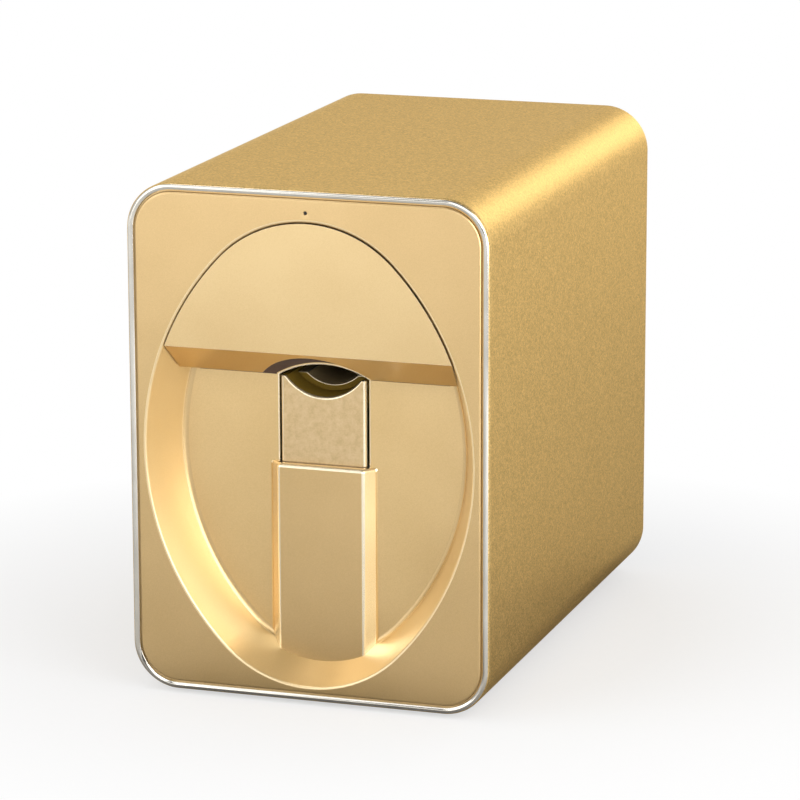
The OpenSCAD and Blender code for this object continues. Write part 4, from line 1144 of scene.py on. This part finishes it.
def powerSocket(s):
    out = rearY - s["inset"]
    x, z, half = s["portX"], baseZ + s["portHeight"], s["socketHalf"]
    black, end, boreR = finishes["black_plastic"], out - s["socketL"], s["socketBore"]
    socket = cuboid("powerSocket", (x - half, end, z - half), (x + half, out, z + half), black)
    lip = half + 2
    inner = out - s["t"]
    join(socket, cuboid("socketLip", (x - lip, inner - 2, z - lip), (x + lip, inner, z + lip)))
    profile = [(0, end + 3), (boreR, end + 3), (boreR, out - 0.5), (boreR + 0.6, out + 0.1), (0, out + 0.1)]
    cutAway(socket, lathe("bore", profile, (x, 0, z), (0, 1, 0), black))
    softenEdges(socket, 0.3, 2, 40)
    profile = [(0, end + 2.8), (1.0, end + 2.8), (1.0, out - 1.6), (0.6, out - 1.05), (0, out - 1.0)]
    pin = lathe("socketPin", profile, (x, 0, z), (0, 1, 0), finishes["ground_steel"])
    pin.parent = socket
    return socket


def rearScrew(number, x, height, s):
    out = rearY - s["inset"]
    z = baseZ + height
    r, seat = s["screwR"], out - s["screwT"]
    profile = [(0, out - 9.5), (1.1, out - 9.5), (1.45, out - 9.0), (1.45, seat), (r, seat)]
    profile += [(r, out - 0.45), (r - 0.25, out - 0.2), (r - 0.9, out - 0.1), (0, out - 0.1)]
    screw = lathe(f"rearScrew{number}", profile, (x, 0, z), (0, 1, 0), finishes["ground_steel"], 40)
    w, reach = s["crossW"] / 2, 0.62 * r
    cross = cuboid("crossA", (x - w, out - 0.9, z - reach), (x + w, out + 1, z + reach))
    cutAway(screw, cross, cuboid("crossB", (x - reach, out - 0.9, z - w), (x + reach, out + 1, z + w)))
    screw.data.set_sharp_from_angle(angle=math.radians(35))
    return screw


place(rearPanel(rearSizes), "housing", "dark_plastic", "rear_panel")
place(powerButton(rearSizes), "power_button", "chrome", "power_button")
place(powerSocket(rearSizes), "housing", "black_plastic", "power_socket")
for number in range(4):
    screwX = rearSizes["screwX"] * (1 if number % 2 else -1)
    rearScrewPiece = rearScrew(number + 1, screwX, rearSizes["screwHeights"][number // 2], rearSizes)
    place(rearScrewPiece, "housing", "ground_steel", f"rear_screw_{number + 1}")
print("back made")


footSizes = {"edge": 0.4, "ringIn": 3.2, "ringOut": 4.0, "ringDeep": 0.25, "ringSlope": 0.2}


def rubberFoot(number, s):
    footLow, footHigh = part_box(f"foot_{number}")
    r, h = (footHigh.x - footLow.x) / 2 / mm, footHigh.z / mm
    ringIn, ringOut, edge = s["ringIn"], s["ringOut"], s["edge"]
    deep, slope = s["ringDeep"], s["ringSlope"]
    profile = [(0, 0), (ringIn, 0), (ringIn + slope, deep), (ringOut - slope, deep), (ringOut, 0)]
    for i in range(5):
        a = -math.pi / 2 + i * math.pi / 8
        profile.append((r - edge * (1 - math.cos(a)), edge * (1 + math.sin(a))))
    profile += [(r, h), (0, h)]
    centre = (footLow + footHigh) / 2 / mm
    return lathe(f"rubberFoot{number}", profile, (centre.x, centre.y, 0), (0, 0, 1), finishes["foot_rubber"])


for number in range(1, 5):
    place(rubberFoot(number, footSizes), "housing", "foot_rubber", f"foot_{number}")
print("feet made")


stageSettings = {
    "floorColour": (0.80, 0.80, 0.80),
    "floorSize": 30.0,
    "seenFade": (0.10, 0.26),  # metres from the middle where the floor turns white for the camera
    "seenLeast": 0.60,  # how white it already is close by
    "mirrorFade": (0.45, 1.30),  # and where it turns white for glossy rays
    "reflectedShadeGrey": (0.10, 0.10, 0.10, 1),  # glossy rays see the floor mixed with this grey close by: painted shade round the device in what it reflects
    "reflectedShadeFade": (0.10, 0.55),  # metres from the middle over which that painted shade fades out
    "reflectedShadeMost": 0.3,
    "footFade": (0.115, 0.165),  # a second share of the painted shade, right by the device's foot
    "footMost": 0.55,
    # light from each side, which glossy rays see too: only camera and transmission rays see a white world
    "dome": {"right": 0.08, "left": 0.62, "back": 0.82, "front": 0.12, "up": 0.20},
    "domeEdge": (0.48, 0.60),  # how far round each side's light reaches, from dark to full
}
lampSettings = [
    # name, size in metres, power in watts, place, point looked at
    ("upperLeftSoftbox", (0.9, 0.9), 3.3, (-0.75, -1.0, 0.75), (0, -0.1, 0.12)),
    ("lowLeftSoftbox", (0.8, 0.4), 1.1, (-0.5, -1.1, 0.22), (0, -0.1, 0.09)),
    ("topSoftbox", (0.4, 0.4), 1.6, (-0.38, -0.30, 1.25), (0, -0.1, 0.12)),
    ("rightFrontPanel", (0.5, 0.5), 2.8, (0.45, -0.36, 0.31), (0, -0.1, 0.2)),
    ("backPanel", (0.6, 0.5), 2.5, (0.36, 1.4, 0.48), (0, 0, 0.2)),
    ("frontFill", (1.0, 0.8), 4.5, (0.2, -1.5, 0.75), (0, 0, 0.09)),
    ("backRightSoftbox", (0.8, 0.8), 0.5, (0.9, 0.7, 0.8), (0, 0, 0.12)),
]


def makeFloor(s):
    maker = MeshMaker()
    half = s["floorSize"] / 2 / mm
    corners = [Vector((x, y, 0)) for x, y in ((-half, -half), (half, -half), (half, half), (-half, half))]
    maker.addFace(maker.addLoop(corners))
    material, tree, shader, place = startMaterial("paleFloor", Roughness=0.6)
    setInput(tree, shader, "Specular IOR Level", 0.0)
    grain = noise(tree, place, 3, 2)
    colour = s["floorColour"]
    light = tuple(min(1, c * 1.02) for c in colour)
    pale = ramp(tree, grain, (0.3, colour), (0.7, light))
    distance = addNode(tree, "ShaderNodeVectorMath", i0=place)
    distance.operation = "LENGTH"
    away = distance.outputs["Value"]
    path = addNode(tree, "ShaderNodeLightPath")
    reflectedShade, foot = (levels(tree, away, *s[key + "Fade"], s[key + "Most"], 0) for key in ("reflectedShade", "foot"))
    # glossy rays see the floor greyed close to the device: painted shade in its reflections
    near = mathNode(tree, "MULTIPLY", mathNode(tree, "ADD", reflectedShade, foot), path.outputs["Is Glossy Ray"])
    setInput(tree, shader, "Base Color", blendColours(tree, near, pale, s["reflectedShadeGrey"]))
    seen = levels(tree, away, *s["seenFade"], s["seenLeast"], 1)
    mirrored = levels(tree, away, *s["mirrorFade"], 0, 1)
    amount = mathNode(tree, "MAXIMUM", mathNode(tree, "MULTIPLY", seen, path.outputs["Is Camera Ray"]),
                      mathNode(tree, "MULTIPLY", mirrored, path.outputs["Is Glossy Ray"]))
    white = addNode(tree, "ShaderNodeEmission", Color=(1, 1, 1, 1), Strength=1.0)
    mixer = addNode(tree, "ShaderNodeMixShader", i0=amount, i1=shader.outputs[0], i2=white.outputs[0])
    tree.links.new(mixer.outputs[0], tree.nodes["Material Output"].inputs["Surface"])
    floor = maker.build("paleFloor", [material])


def makeWorld(s):
    world = bpy.data.worlds.new("studioWorld")
    bpy.context.scene.world = world
    world.use_nodes = True
    tree = world.node_tree
    tree.nodes.clear()
    path = addNode(tree, "ShaderNodeLightPath")
    seen = mathNode(tree, "MAXIMUM", path.outputs["Is Camera Ray"], path.outputs["Is Transmission Ray"])
    axes = addNode(tree, "ShaderNodeSeparateXYZ", i0=addNode(tree, "ShaderNodeTexCoord").outputs["Generated"])
    total = 0.0
    for key, axis, sign in (("right", 0, 1), ("left", 0, -1), ("back", 1, 1), ("front", 1, -1), ("up", 2, 1)):
        edges = [sign * edge for edge in s["domeEdge"]]
        total = mathNode(tree, "ADD", levels(tree, axes.outputs[axis], *edges, 0, s["dome"][key]), total)
    plain = addNode(tree, "ShaderNodeBackground", Color=(1, 1, 1, 1), Strength=total)
    white = addNode(tree, "ShaderNodeBackground", Color=(1, 1, 1, 1), Strength=1.0)
    mixer = addNode(tree, "ShaderNodeMixShader", i0=seen, i1=plain.outputs[0], i2=white.outputs[0])
    addNode(tree, "ShaderNodeOutputWorld", Surface=mixer.outputs[0])


def makeLamp(name, size, power, spot, target):
    data = bpy.data.lights.new(name, "AREA")
    data.shape = "RECTANGLE"
    data.size, data.size_y = size
    data.energy = power
    lamp = bpy.data.objects.new(name, data)
    bpy.context.scene.collection.objects.link(lamp)
    lamp.location = spot
    lamp.visible_camera = False
    lamp.rotation_euler = (Vector(target) - Vector(spot)).to_track_quat("-Z", "Y").to_euler()


makeFloor(stageSettings)
makeWorld(stageSettings)
for lampSetting in lampSettings:
    makeLamp(*lampSetting)
bpy.context.scene.view_settings.view_transform = "Standard"
print("stage lit")
